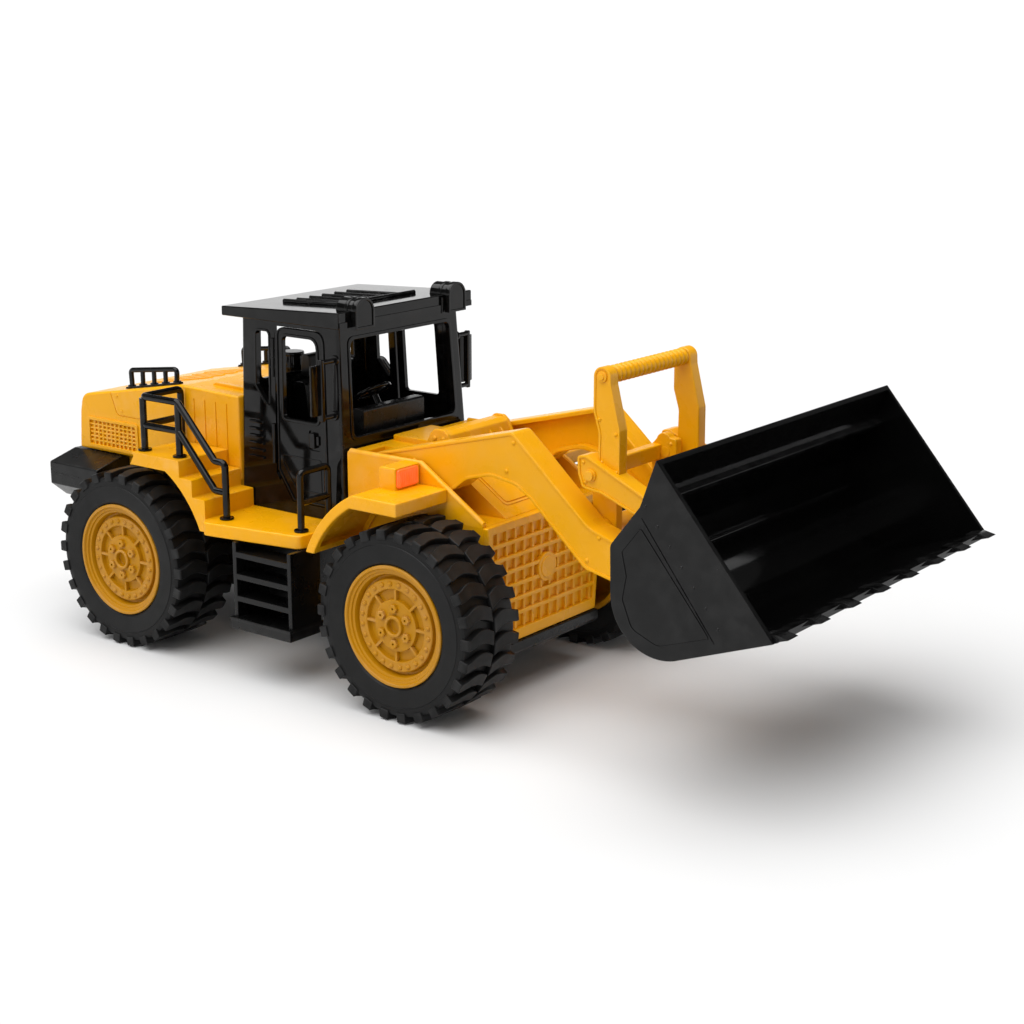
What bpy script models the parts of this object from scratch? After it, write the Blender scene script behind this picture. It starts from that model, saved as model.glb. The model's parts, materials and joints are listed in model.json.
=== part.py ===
"""Toy front loader, 1:16 class, in moulded plastic.

Frame: +X is forward (the bucket end), +Y is the loader's left, +Z is up.
The origin is on the ground under the middle of the loader.
Lengths below are millimetres, and x is measured from the front axle;
to_world() turns them into metres in the loader's own frame.
"""
import math

import bmesh
import bpy
from mathutils import Matrix, Vector

MM = 0.001
GAP = 0.3                # clearance between neighbouring pieces

# overall layout
REAR_END = -318.0        # back of the counterweight
TOOTH_TIP = 249.0        # tips of the bucket teeth
FRONT_AXLE_X = -(REAR_END + TOOTH_TIP) / 2
WHEELBASE = 220.0
REAR_AXLE = (-WHEELBASE, 55.0)
FRONT_AXLE = (0.0, 55.0)

# wheels
TYRE_RADIUS = 55.0
TYRE_HALF_WIDTH = 22.5
RIM_RADIUS = 34.5
WHEEL_Y = 86.0
AXLE_RADIUS = 2.0
WHEEL_SEGMENTS = 40
HUB_FACE = 11.0          # bottom of the blind bore, outward from the wheel's middle

# rear half
CHASSIS_HALF = 44.0
CHASSIS_BOTTOM = 30.0
DECK_TOP = 90.1
HOOD_HALF_REAR = 56.0
HOOD_HALF_FRONT = 59.0
HOOD_BOTTOM = 104.0
HOOD_SKIRT_HALF = 50.0
STAIR_OUTER = 100.0
STEP_HEIGHTS = (122.6, 112.2, 101.6)
STEP_EDGES = (-172.0, -161.5, -151.0)
ARCH_RADIUS = 69.3

# cab
CAB_BOTTOM = 90.4
CAB_TOP = 204.5
CAB_REAR = -161.0
CAB_FRONT = -77.0
CAB_HALF = 58.8
CAB_WALL = 2.6
CAB_TAPER_Y = 0.0765     # share of the half width lost at the top
CAB_TAPER_X = 0.0774     # share of the length lost at the top, from the front
ROOF_HALF = 61.0
ROOF_REAR = -171.3
ROOF_FRONT = -77.2
DOOR_REAR = -131.0
DOOR_FRONT = -89.0
DOOR_BOTTOM = 98.0
DOOR_TOP = 201.0
DOOR_AXIS_X = -129.6

# front frame and boom
FRAME_REAR = -76.7
FRAME_FRONT = 23.2
FRAME_TOP = 134.0
TRENCH_FLOOR = 104.0
WALL_INNER = 52.6
WALL_OUTER = 56.5
CORE_HALF = 33.5
FENDER_OUTER = 101.0
BOOM_PIVOT = (-52.0, 122.0)
ARM_INNER = 34.5
ARM_OUTER = 51.5

# bucket and its parallel linkage
BUCKET_HALF = 120.0
BUCKET_SKIN = 3.0
BUCKET_PIVOT = (140.0, 93.0)
LINK_RISE = 31.0         # distance between the two pins at each end of the linkage
LINK_PIN = (BUCKET_PIVOT[0], BUCKET_PIVOT[1] + LINK_RISE)
ROCKER_TOP = (88.6, 141.0)
ROCKER_PIVOT = (ROCKER_TOP[0], ROCKER_TOP[1] - LINK_RISE)
HEEL_CENTRE = (181.0, 106.2)
HEEL_RADIUS = 29.0
LIP = (177.0, 175.5)
EDGE = (243.0, 97.8)
PIN_RADIUS = 2.0
TOOTH_COUNT = 8

MATERIALS = {
    "yellow_plastic": ((0.80, 0.38, 0.02), 0.30, 0.0),
    "black_plastic": ((0.022, 0.022, 0.022), 0.22, 0.0),
    "black_rubber": ((0.018, 0.018, 0.018), 0.55, 0.0),
    "orange_lens": ((0.85, 0.14, 0.02), 0.15, 0.0),
    "steel": ((0.55, 0.55, 0.56), 0.30, 1.0),
}


# ---------------------------------------------------------------- tools

def clear_scene():
    for obj in list(bpy.data.objects):
        bpy.data.objects.remove(obj)


def material(kind, node):
    colour, roughness, metallic = MATERIALS[kind]
    mat = bpy.data.materials.new(f"{node}_{kind}")
    mat.use_nodes = True
    shader = mat.node_tree.nodes["Principled BSDF"]
    shader.inputs["Base Color"].default_value = (*colour, 1.0)
    shader.inputs["Roughness"].default_value = roughness
    shader.inputs["Metallic"].default_value = metallic
    return mat


def to_world(point):
    return Vector(((point[0] + FRONT_AXLE_X) * MM, point[1] * MM, point[2] * MM))


def solid(rings, loop=False):
    """Skin a row of equal rings of points; the ends are capped unless loop."""
    bm = bmesh.new()
    rows = [[bm.verts.new(p) for p in ring] for ring in rings]
    pairs = list(zip(rows, rows[1:]))
    if loop:
        pairs.append((rows[-1], rows[0]))
    count = len(rows[0])
    for first, second in pairs:
        for i in range(count):
            j = (i + 1) % count
            bm.faces.new((first[i], first[j], second[j], second[i]))
    if not loop:
        bm.faces.new(rows[0])
        bm.faces.new(rows[-1])
    bmesh.ops.recalc_face_normals(bm, faces=bm.faces)
    return bm


def along_y(outline, y0, y1):
    return solid([[(x, y, z) for x, z in outline] for y in (y0, y1)])


def along_x(outline, x0, x1):
    return solid([[(x, y, z) for y, z in outline] for x in (x0, x1)])


def along_z(outline, z0, z1):
    return solid([[(x, y, z) for x, y in outline] for z in (z0, z1)])


def block(x0, x1, y0, y1, z0, z1):
    return along_y([(x0, z0), (x1, z0), (x1, z1), (x0, z1)], y0, y1)


def rod(start, end, radius, segments=12):
    """A round bar between two points."""
    start, end = Vector(start), Vector(end)
    turn = (end - start).to_track_quat("Z", "Y")
    rings = []
    for base in (start, end):
        ring = []
        for i in range(segments):
            a = math.tau * i / segments
            ring.append(base + turn @ Vector((radius * math.cos(a), radius * math.sin(a), 0)))
        rings.append(ring)
    return solid(rings)


def cross_pin(centre, y0, y1, radius, segments=16):
    return rod((centre[0], y0, centre[1]), (centre[0], y1, centre[1]), radius, segments)


def turned_y(profile, centre, side, segments):
    """Turn a closed (radius, offset) profile about the Y line through centre."""
    bm = bmesh.new()
    rows = []
    for radius, offset in profile:
        y = centre[1] + side * offset
        if radius == 0:
            rows.append([bm.verts.new((centre[0], y, centre[2]))])
            continue
        row = []
        for i in range(segments):
            a = math.tau * (i + 0.0) / segments - math.pi / 2
            row.append(bm.verts.new((centre[0] + radius * math.cos(a), y,
                                     centre[2] + radius * math.sin(a))))
        rows.append(row)
    for first, second in zip(rows, rows[1:] + rows[:1]):
        for i in range(segments):
            j = (i + 1) % segments
            if len(first) == 1 and len(second) == 1:
                continue
            if len(first) == 1:
                bm.faces.new((first[0], second[j], second[i]))
            elif len(second) == 1:
                bm.faces.new((first[i], first[j], second[0]))
            else:
                bm.faces.new((first[i], first[j], second[j], second[i]))
    bmesh.ops.recalc_face_normals(bm, faces=bm.faces)
    return bm


def arc(centre, radius, start, end, steps):
    """Points on an arc, angles in degrees."""
    points = []
    for i in range(steps + 1):
        a = math.radians(start + (end - start) * i / steps)
        points.append((centre[0] + radius * math.cos(a), centre[1] + radius * math.sin(a)))
    return points


def capsule(low, high, low_radius, high_radius, steps=6):
    """Outline round two points, the second above the first."""
    return arc(low, low_radius, 180, 360, steps) + arc(high, high_radius, 0, 180, steps)


def raw_object(name, bm, pivot=(0, 0, 0)):
    origin = to_world(pivot)
    mesh = bpy.data.meshes.new(name)
    for vert in bm.verts:
        vert.co = to_world(vert.co) - origin
    bm.to_mesh(mesh)
    bm.free()
    obj = bpy.data.objects.new(name, mesh)
    obj.location = origin
    bpy.context.scene.collection.objects.link(obj)
    return obj


def boolean(obj, bm, operation):
    tool = raw_object("tool", bm)
    bpy.context.view_layer.update()
    modifier = obj.modifiers.new("boolean", "BOOLEAN")
    modifier.operation = operation
    modifier.solver = "EXACT"
    modifier.object = tool
    depsgraph = bpy.context.evaluated_depsgraph_get()
    result = bpy.data.meshes.new_from_object(obj.evaluated_get(depsgraph))
    obj.modifiers.clear()
    obj.data = result
    bpy.data.objects.remove(tool)


def make(name, shapes, kind, cuts=(), pivot=(0, 0, 0), smooth=None):
    """One named piece: its shapes fused, its cuts taken away, one material."""
    obj = raw_object(name, shapes[0], pivot)
    for bm in shapes[1:]:
        boolean(obj, bm, "UNION")
    for bm in cuts:
        boolean(obj, bm, "DIFFERENCE")
    obj.data.materials.clear()
    obj.data.materials.append(material(kind, name))
    for polygon in obj.data.polygons:
        polygon.material_index = 0
    if smooth:
        obj.data.shade_smooth()
        obj.data.set_sharp_from_angle(angle=math.radians(smooth))
    return obj


def side_name(base, side):
    return f"{base}_left" if side > 0 else f"{base}_right"


def sided(side, y0, y1):
    """The y range y0 to y1 on the given side, lowest first."""
    return sorted((side * y0, side * y1))


# ---------------------------------------------------------------- wheels

def build_wheels():
    for end, axle in (("front", FRONT_AXLE), ("rear", REAR_AXLE)):
        for side in (-1, 1):
            centre = (axle[0], side * WHEEL_Y, axle[1])
            build_tyre(side_name(f"tyre_{end}", side), centre, side)
            build_rim(side_name(f"rim_{end}", side), centre, side)
        shaft = cross_pin(axle, -WHEEL_Y - HUB_FACE + GAP, WHEEL_Y + HUB_FACE - GAP, AXLE_RADIUS)
        make(f"axle_{end}", [shaft], "steel", smooth=30)


def build_tyre(name, centre, side):
    bead = RIM_RADIUS + GAP
    profile = [(bead, -20.0), (44.0, -TYRE_HALF_WIDTH), (TYRE_RADIUS, -19.0), (TYRE_RADIUS, 19.0),
               (44.0, TYRE_HALF_WIDTH), (bead, 20.0), (bead, 16.0), (49.0, 16.0), (49.0, -16.0),
               (bead, -16.0)]
    tyre = turned_y(profile, centre, side, WHEEL_SEGMENTS)
    make(name, [tyre], "black_rubber", pivot=centre, smooth=35)


def build_rim(name, centre, side):
    bore = AXLE_RADIUS + GAP
    profile = [(0, 20.3), (6.3, 20.3), (6.7, 18.8), (14.4, 18.6), (15.0, 16.5), (20.2, 16.5),
               (20.8, 18.5), (26.0, 18.4), (26.6, 15.9), (28.4, 16.0), (29.4, 19.0), (31.2, 20.2),
               (32.6, 21.6), (RIM_RADIUS, 21.6), (RIM_RADIUS, -19.5), (31.5, -19.5), (29.0, 11.5),
               (9.0, 11.5), (7.0, -20.0),
               (bore, -20.0), (bore, HUB_FACE), (0, HUB_FACE)]
    rim = turned_y(profile, centre, side, WHEEL_SEGMENTS)
    make(name, [rim], "yellow_plastic", pivot=centre, smooth=35)


# ---------------------------------------------------------------- rear half

def build_rear_chassis():
    outline = [(-298, 89.7), (-298, 62), (-280, 40), (-262, CHASSIS_BOTTOM), (-112, CHASSIS_BOTTOM),
               (-100, 22), (14, 22), (21.5, 26), (21.5, 31.7), (-77.6, 31.7), (-77.6, 89.7)]
    shapes = [along_y(outline, -CHASSIS_HALF, CHASSIS_HALF)]
    for side in (-1, 1):
        y0, y1 = sided(side, CHASSIS_HALF - 2, WHEEL_Y - TYRE_HALF_WIDTH - 0.8)
        shapes.append(cross_pin(REAR_AXLE, y0, y1, 9.0))
    cuts = [cross_pin(REAR_AXLE, -80, 80, AXLE_RADIUS + GAP)]
    for x0, x1 in ((-292, -246), (-243, -232), (-208, -165), (-162, -125), (-122, -82)):
        bottom = 45 if x0 < -246 else CHASSIS_BOTTOM - 10
        for y0, y1 in ((-41, -5), (5, 41)):
            cuts.append(block(x0, x1, y0, y1, bottom, 86.5))
    cuts += screw_shapes(2.0 + GAP, 4.0, 20.0)
    return make("rear_chassis", shapes, "black_plastic", cuts)


SCREW_PLACES = (("rear", -56.0), ("front", 4.0))


def screw_shapes(radius, below, above):
    """Bars at each underside screw, from below to above the chassis' lower face."""
    return [rod((x, 0, 22.0 - below), (x, 0, 22.0 + above), radius) for _, x in SCREW_PLACES]


def build_screws():
    """Screws with their heads under the chassis, up into the front frame."""
    profile = [(0, 20.4), (3.4, 20.4), (3.8, 21.0), (3.8, 21.7), (2.0, 21.7), (2.0, 39.0), (0, 39.0)]
    for place, x in SCREW_PLACES:
        bm = turned_y(profile, (0, 0, 0), 1, 12)
        bmesh.ops.transform(bm, matrix=Matrix.Rotation(math.radians(90), 4, "X"), verts=bm.verts)
        bmesh.ops.translate(bm, vec=(x, 0, 0), verts=bm.verts)
        make(f"screw_{place}", [bm], "steel", smooth=30)


def build_hood():
    rear = [(-313.2, HOOD_BOTTOM), (-311.2, 129), (-307.9, 136.2), (-300.6, 141.0), (-283, 144.8),
            (-212, 157.2), (-200, 157.2), (-200, HOOD_BOTTOM)]
    front = [(-209.3, HOOD_BOTTOM), (-209.3, 157.0), (-161.6, 155.8), (-161.6, HOOD_BOTTOM)]
    skirt = block(-300.5, -161.6, -HOOD_SKIRT_HALF, HOOD_SKIRT_HALF, 90.1, HOOD_BOTTOM + 1)
    shapes = [along_y(rear, -HOOD_HALF_REAR, HOOD_HALF_REAR),
              along_y(front, -HOOD_HALF_FRONT, HOOD_HALF_FRONT), skirt]
    cuts = []
    for x0, x1, top in ((-297, -262, 138), (-259, -215, 147), (-212, -165, 152.5)):
        for y0, y1 in ((-46.5, -1.5), (1.5, 46.5)):
            cuts.append(block(x0, x1, y0, y1, 80, top))
        cuts.append(block(x0, x1, -53, 53, 107, top))
    return make("engine_hood", shapes, "yellow_plastic", cuts)


def build_side_deck(side):
    steps = [(-215, STEP_HEIGHTS[0]), (STEP_EDGES[0], STEP_HEIGHTS[0]), (STEP_EDGES[0], STEP_HEIGHTS[1]),
             (STEP_EDGES[1], STEP_HEIGHTS[1]), (STEP_EDGES[1], STEP_HEIGHTS[2]),
             (STEP_EDGES[2], STEP_HEIGHTS[2]), (STEP_EDGES[2], 82.0)]
    arch = arc(REAR_AXLE, ARCH_RADIUS, 22.9, 59.3, 8)
    stairs = along_y(steps + arch + [(-215, 114.6)], *sided(side, HOOD_HALF_FRONT + GAP, STAIR_OUTER))
    plan = [(-157.0, 44.3), (-157.0, 99.9), (-151.0, 99.9), (-146.5, 106.0), (-80.5, 95.2),
            (-77.8, 93.5), (-77.0, 91.0), (-77.0, 44.3)]
    slab = along_z([(x, side * y) for x, y in plan], 82.0, DECK_TOP)
    return make(side_name("side_deck", side), [stairs, slab], "yellow_plastic")


def build_hood_rail(side):
    """Five posts and a top bar on a foot plate, leaning with the hood's slope."""
    slope = (157.2 - 144.8) / 71.0

    def lift(x, height):
        return 157.2 + slope * (x + 212) + height

    outline = [(-271.5, lift(-271.5, GAP)), (-220, lift(-220, GAP)), (-220, lift(-220, 1.6)),
               (-222.5, lift(-222.5, 1.6)), (-222.5, lift(-222.5, 11.5)),
               (-268.5, lift(-268.5, 11.5)), (-268.5, lift(-268.5, 1.6)), (-271.5, lift(-271.5, 1.6))]
    cuts = []
    pitch = (46.0 - 3.2) / 4
    for i in range(4):
        x0 = -268.5 + 3.2 + pitch * i
        x1 = x0 + pitch - 3.2
        hole = [(x0, lift(x0, 1.6)), (x1, lift(x1, 1.6)), (x1, lift(x1, 8.6)), (x0, lift(x0, 8.6))]
        cuts.append(along_y(hole, *sided(side, 40, 60)))
    return make(side_name("hood_rail", side), [along_y(outline, *sided(side, 48.5, 51.5))],
                "black_plastic", cuts)


def build_counterweight():
    section = [(-78, 98), (-57, 103.6), (57, 103.6), (78, 98), (78, 83.5), (66, 74), (-66, 74), (-78, 83.5)]
    body = along_x(section, REAR_END, -272.0)
    recess = block(-301.0, -260.0, -HOOD_SKIRT_HALF - 0.4, HOOD_SKIRT_HALF + 0.4, 60, 120)
    slant = along_y([(-271, 97), (-271, 60), (-287, 74)], -90, 90)
    return make("counterweight", [body], "black_plastic", [recess, slant])


def build_rear_handrail(side):
    y = side * 92.5
    inner = side * 61.6
    low, mid, top = 122.9, 138.4, 156.0
    r = 2.1
    runs = [((-209, y, low), (-209, y, top + r)), ((-209, y, top), (-177.5, y, top)),
            ((-178.5, y, low), (-178.5, y, top + 0.4)), ((-179.5, y, top + 1.0), (-147.7, y, 123.6)),
            ((-149.5, y, 124.3), (-140.4, y, 124.3)), ((-140.4, y, 90.4), (-140.4, y, 124.3 + r)),
            ((-209, y, mid), (-177.5, y, mid)), ((-179.5, y, mid + 1.0), (-148.4, y, 105.6)),
            ((-150.2, y, 106.4), (-140.4, y, 106.4)), ((-209, inner, low), (-209, inner, top + r)),
            ((-209, inner, top), (-209, y, top)), ((-209, inner, mid), (-209, y, mid))]
    shapes = [rod(a, b, r, 6) for a, b in runs]
    for x in (-209, -178.5):
        shapes.append(rod((x, y, low), (x, y, low + 1.2), 4.2, 8))
    shapes.append(rod((-140.4, y, 90.4), (-140.4, y, 91.6), 4.2, 8))
    return make(side_name("rear_handrail", side), shapes, "black_plastic")


def build_front_handrail(side):
    outer, inner = side * 86.4, side * 63.2
    x, r = -86.0, 2.1
    low, mid, top = 90.4, 107.4, 125.0
    shapes = [rod((x, outer, low), (x, outer, top + r), r, 8), rod((x, inner, low), (x, inner, top + r), r, 8),
              rod((x, outer, top), (x, inner, top), r, 8), rod((x, outer, mid), (x, inner, mid), r, 8),
              rod((x, outer, low), (x, outer, low + 1.2), 4.2, 8)]
    return make(side_name("front_handrail", side), shapes, "black_plastic")


def build_ladder(side):
    x0, x1 = -124.5, -77.5
    shapes = [block(x0 - 1.5, x1, *sided(side, 79, 106), 30, 37)]
    for a, b in ((x0, x0 + 3), (x1 - 3, x1)):
        shapes.append(block(a, b, *sided(side, 80, 104.5), 36, 81.7))
    shapes.append(block(x0 + 1, x1 - 1, *sided(side, 79.5, 82), 36, 81.7))
    for z in (47, 60, 73.5):
        shapes.append(block(x0 + 1, x1 - 1, *sided(side, 96, 104.2), z, z + 3.2))
    return make(side_name("ladder", side), shapes, "black_plastic")


# ---------------------------------------------------------------- cab

def taper(x, y, z):
    """The cab narrows towards its roof; its rear wall stays upright."""
    share = (z - CAB_BOTTOM) / (CAB_TOP - CAB_BOTTOM)
    x = CAB_REAR + (x - CAB_REAR) * (1 - CAB_TAPER_X * share)
    return x, y * (1 - CAB_TAPER_Y * share), z


def taper_object(obj):
    """Lean an upright piece in with the cab's walls."""
    origin = obj.location.copy()
    for vert in obj.data.vertices:
        p = vert.co + origin
        x, y, z = taper(p.x / MM - FRONT_AXLE_X, p.y / MM, p.z / MM)
        vert.co = to_world((x, y, z)) - origin


def door_outline(grow):
    x0, x1 = DOOR_REAR - grow, DOOR_FRONT + grow
    z0, z1 = DOOR_BOTTOM - grow, DOOR_TOP + grow
    return [(x0, 116.0), (x0 + 12.5, z0), (x1, z0), (x1, z1 - 5), (x1 - 1.5, z1 - 1.5),
            (x1 - 5, z1), (x0 + 5, z1), (x0 + 1.5, z1 - 1.5), (x0, z1 - 5)]


def build_cab_shell():
    body = block(CAB_REAR, CAB_FRONT, -CAB_HALF, CAB_HALF, CAB_BOTTOM, CAB_TOP)
    inside = block(CAB_REAR + CAB_WALL, CAB_FRONT - CAB_WALL, -CAB_HALF + CAB_WALL,
                   CAB_HALF - CAB_WALL, 80, 220)
    quarter = [(-148, 197.5), (-148, 165), (-137, 152.5), (-137, 197.5)]
    cuts = [inside,
            along_y([(DOOR_REAR - 0.9, DOOR_TOP + 0.4), (DOOR_REAR - 0.9, 113.3), (-129.0, 109.0),
                     (-126, 112), (-126, DOOR_TOP + 0.4)], -90, 90),
            block(-90, -60, -48.5, 48.5, 139.5, 196.5),
            block(-170, -150, -44, 44, 165, 197),
            along_y(quarter, -90, 90),
            along_y(door_outline(0.4), -90, 90)]
    slots = []
    for side in (-1, 1):
        slots.append(rear_corner_cut(side))
    barrels = []
    for side in (-1, 1):
        for z0, z1 in ((119, 143), (171, 194)):
            x, y = DOOR_REAR - 1.9, side * (CAB_HALF + 0.4)
            barrels.append(rod((x, y, z0), (x, y, z1), 1.1, 8))
    obj = make("cab_shell", [body] + barrels, "black_plastic", cuts + slots)
    taper_object(obj)
    return obj


def rear_corner_cut(side):
    """The lower rear corner of each side wall is cut off aslant for the stairs."""
    outline = [(-165, 85), (-153, 85), (-153, 90.4), (-161.5, 101.0), (-165, 101)]
    return along_y(outline, *sided(side, CAB_HALF - 1.0, 70))


def build_door(side):
    inner, outer = CAB_HALF - 2.4, CAB_HALF
    panel = along_y(door_outline(0), *sided(side, inner, outer))
    window = [(-124.5, 147.3), (-96, 147.3), (-96, 190), (-98.5, 195.8), (-124.5, 195.8)]
    handle = block(-102.4, -95.6, *sided(side, outer - 0.5, outer + 1.2), 132.5, 140.5)
    bevel = [(DOOR_REAR - 2, DOOR_BOTTOM - 5), (DOOR_REAR - 2, DOOR_TOP + 5),
             (DOOR_REAR + 0.9, DOOR_TOP + 5), (DOOR_REAR + 0.9, DOOR_BOTTOM - 5)]
    cuts = [along_y(window, -90, 90), along_y(bevel, -90, 90)]
    hinge = (DOOR_AXIS_X, side * (CAB_HALF - 1.2), (DOOR_BOTTOM + DOOR_TOP) / 2)
    obj = make(side_name("door", side), [panel, handle], "black_plastic", cuts, pivot=taper(*hinge))
    taper_object(obj)
    return obj


def build_roof():
    outline = [(ROOF_REAR, 204.8), (ROOF_FRONT, 204.8), (ROOF_FRONT, 214.8), (ROOF_REAR, 210.6)]
    return make("cab_roof", [along_y(outline, -ROOF_HALF, ROOF_HALF)], "black_plastic")


def build_roof_lamp(side):
    """A round-topped lamp on the roof's front edge, its drum lying on the roof."""
    y0, y1 = sided(side, 34.0, 50.4)
    middle = (y0 + y1) / 2
    arch = [(y0, 204.0), (y1, 204.0)] + arc((middle, 213.6), 8.2, 0, 180, 10)
    face = along_x(arch, -76.8, -73.4)
    drum = along_x(arc((middle, 213.6), 7.2, 13, 167, 10), -89.5, -76.0)
    return make(side_name("roof_lamp", side), [face, drum], "black_plastic")


def build_mirror(side):
    plate = block(-88.6, -86.2, *sided(side, 61.2, 73.8), 155.2, 184.4)
    post = rod((-85.3, side * 66.9, 151.6), (-85.3, side * 66.9, 187.8), 1.5, 10)
    arms = [rod((-85.3, side * y, z), (-85.3, side * 66.9, z), 1.2, 8) for y, z in ((57.0, 153.6), (55.6, 186.0))]
    return make(side_name("mirror", side), [plate, post] + arms, "black_plastic")


def build_seat():
    outline = [(-150, 90.4), (-122, 90.4), (-122, 122), (-117, 122), (-117, 131), (-143, 129),
               (-149, 164), (-148, 176), (-155, 176), (-157, 164), (-154, 122), (-150, 118)]
    return make("seat", [along_y(outline, -17, 17)], "black_plastic")


def build_dashboard():
    outline = [(-98, 90.4), (-88.5, 90.4), (-88.5, 152), (-96, 152), (-101, 146), (-98, 140)]
    return make("dashboard", [along_y(outline, -28, 28)], "black_plastic")


STEERING_HUB = (-106.0, 0.0, 157.0)
STEERING_LEAN = 30.0     # degrees that the steering column leans back from upright


def build_steering():
    """Wheel with a rim, three spokes and a short column that stops at the dashboard."""
    rings = []
    for i in range(20):
        a = math.tau * i / 20
        ring = []
        for j in range(6):
            b = math.tau * j / 6
            radius = 11.0 + 1.3 * math.cos(b)
            ring.append((radius * math.cos(a), radius * math.sin(a), 1.3 * math.sin(b)))
        rings.append(ring)
    rim = solid(rings, loop=True)
    parts = [rim, rod((0, 0, -9), (0, 0, 1.5), 2.4, 10)]
    for i in range(3):
        a = math.tau * i / 3
        parts.append(rod((0, 0, 0), (10.6 * math.cos(a), 10.6 * math.sin(a), 0), 1.0, 6))
    turn = Matrix.Translation(STEERING_HUB) @ Matrix.Rotation(math.radians(-STEERING_LEAN), 4, "Y")
    for bm in parts:
        bmesh.ops.transform(bm, matrix=turn, verts=bm.verts)
    return make("steering_wheel", parts, "black_plastic", pivot=STEERING_HUB)


def build_air_cleaner():
    drum = rod((-172, 0, 156.7), (-172, 0, 173), 6.4, 20)
    cap = rod((-172, 0, 172.5), (-172, 0, 175), 7.2, 20)
    return make("air_cleaner", [drum, cap], "black_plastic", smooth=30)


# ---------------------------------------------------------------- front frame

def build_front_frame():
    section = [(-49, 32), (49, 32), (WALL_OUTER, TRENCH_FLOOR), (-WALL_OUTER, TRENCH_FLOOR)]
    shapes = [along_x(section, FRAME_REAR, FRAME_FRONT)]
    wall = [(FRAME_REAR, 103), (FRAME_FRONT, 103), (FRAME_FRONT, 105.8), (-20.5, FRAME_TOP),
            (FRAME_REAR, FRAME_TOP)]
    for side in (-1, 1):
        shapes.append(along_y(wall, *sided(side, WALL_INNER, WALL_OUTER)))
        shapes.append(cross_pin(FRONT_AXLE, *sided(side, 46, WHEEL_Y - TYRE_HALF_WIDTH - 0.8), 9.0))
    core = [(FRAME_REAR, 103), (22.0, 103), (-24.0, FRAME_TOP), (FRAME_REAR, FRAME_TOP)]
    shapes.append(along_y(core, -CORE_HALF, CORE_HALF))
    shapes.append(block(FRAME_REAR, -67.6, -WALL_OUTER, WALL_OUTER, 103, FRAME_TOP))
    shapes.append(block(FRAME_REAR, -45, -18, 18, 133, 137))
    shapes.append(along_y([(-38, 133), (-20, 133), (-23, 145), (-25.5, 147), (-33, 147), (-35.5, 145)],
                          -27.5, 27.5))
    cuts = [cross_pin(FRONT_AXLE, -80, 80, AXLE_RADIUS + GAP),
            cross_pin(BOOM_PIVOT, -80, 80, 3.0 + GAP)]
    for x0, x1, top in ((-73.5, -66, 131), (-38, -24, 131), (-21, -9, 121), (10, 20, 100)):
        for y0, y1 in ((-31, -5), (5, 31)):
            cuts.append(block(x0, x1, y0, y1, 20, top))
        for y0, y1 in ((-46, -31.5), (31.5, 46)):
            cuts.append(block(x0, x1, y0, y1, 20, 100))
    cuts += screw_shapes(2.0 + GAP, 4.0, 17.4)
    return make("front_frame", shapes, "yellow_plastic", cuts)


def build_grille():
    section = [(-48.7, 32), (48.7, 32), (56.0, 103.6), (-56.0, 103.6)]
    plate = along_x(section, FRAME_FRONT + GAP, 26.3)
    cuts = []
    for row in range(4):
        z0 = 40 + 15.5 * row
        half = 43 + row * 1.6
        cuts.append(block(25.0, 30, -half, half, z0, z0 + 12.5))
    return make("front_grille", [plate], "yellow_plastic", cuts)


def build_front_bumper():
    section = [(21.8, 24.6), (27.5, 24.6), (28.6, 26.5), (28.2, 31.7), (21.8, 31.7)]
    return make("front_bumper", [along_y(section, -49, 49)], "black_plastic")


def build_fender(side):
    top = [(-1.5, 122.6), (-1.5, 114.6)]
    inner = arc(FRONT_AXLE, 69.5, 121.0, 155.3, 8)
    outer = arc(FRONT_AXLE, 75.5, 157.3, 116.4, 8)
    shell = along_y(top + inner + outer, *sided(side, WALL_OUTER + GAP, FENDER_OUTER))
    lamp_box = along_y([(-33.5, 122), (-21.3, 122), (-21.3, 135.4), (-31, 135.4)],
                       *sided(side, WALL_OUTER + GAP, 78))
    return make(side_name("fender", side), [shell, lamp_box], "yellow_plastic")


def build_lamp_lens(side):
    lens = block(-21.0, -19.2, *sided(side, 59.2, 77.0), 123.4, 134.6)
    return make(side_name("lamp_lens", side), [lens], "orange_lens")


# ---------------------------------------------------------------- boom

def build_boom_arm(side):
    rear = arc(BOOM_PIVOT, 14.0, 262, 95, 8)
    top = [(-40.3, 135.6), (38.5, 159.0), (42.5, 157.8), (56, 145.2), (73.4, 131.4), (92, 113.8),
           (98, 111.0), (107, 109.3), (131, 102.9)]
    tip = arc(BUCKET_PIVOT, 9.0, 75, -105, 6)
    below = [(106, 86.7), (90.5, 90.2), (84.5, 95.1), (52.3, 123.3), (45.5, 127.9), (38.5, 130.5),
             (31.7, 131.5), (17.7, 131.4), (10.7, 129.5), (4.2, 124.8), (-8.0, 118.3), (-22.0, 113.4)]
    body = along_y(rear + top + tip + below, *sided(side, ARM_INNER, ARM_OUTER))
    cuts = [cross_pin(BOOM_PIVOT, -80, 80, 3.0 + GAP), cross_pin(BUCKET_PIVOT, -80, 80, PIN_RADIUS + GAP)]
    return make(side_name("boom_arm", side), [body], "yellow_plastic", cuts,
                pivot=(BOOM_PIVOT[0], 0, BOOM_PIVOT[1]))


def build_boom_cross_members():
    reach = ARM_INNER - GAP
    make("boom_cross_tube", [cross_pin(ROCKER_PIVOT, -reach, reach, 5.0, 20)], "yellow_plastic",
         pivot=(BOOM_PIVOT[0], 0, BOOM_PIVOT[1]), smooth=30)
    plate = along_y([(104, 90), (124, 85.5), (125, 95), (105, 100)], -reach, reach)
    make("boom_cross_plate", [plate], "yellow_plastic", pivot=(BOOM_PIVOT[0], 0, BOOM_PIVOT[1]))
    make("boom_pivot_pin", [cross_pin(BOOM_PIVOT, -56.2, 56.2, 3.0, 20)], "steel", smooth=30)


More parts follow.
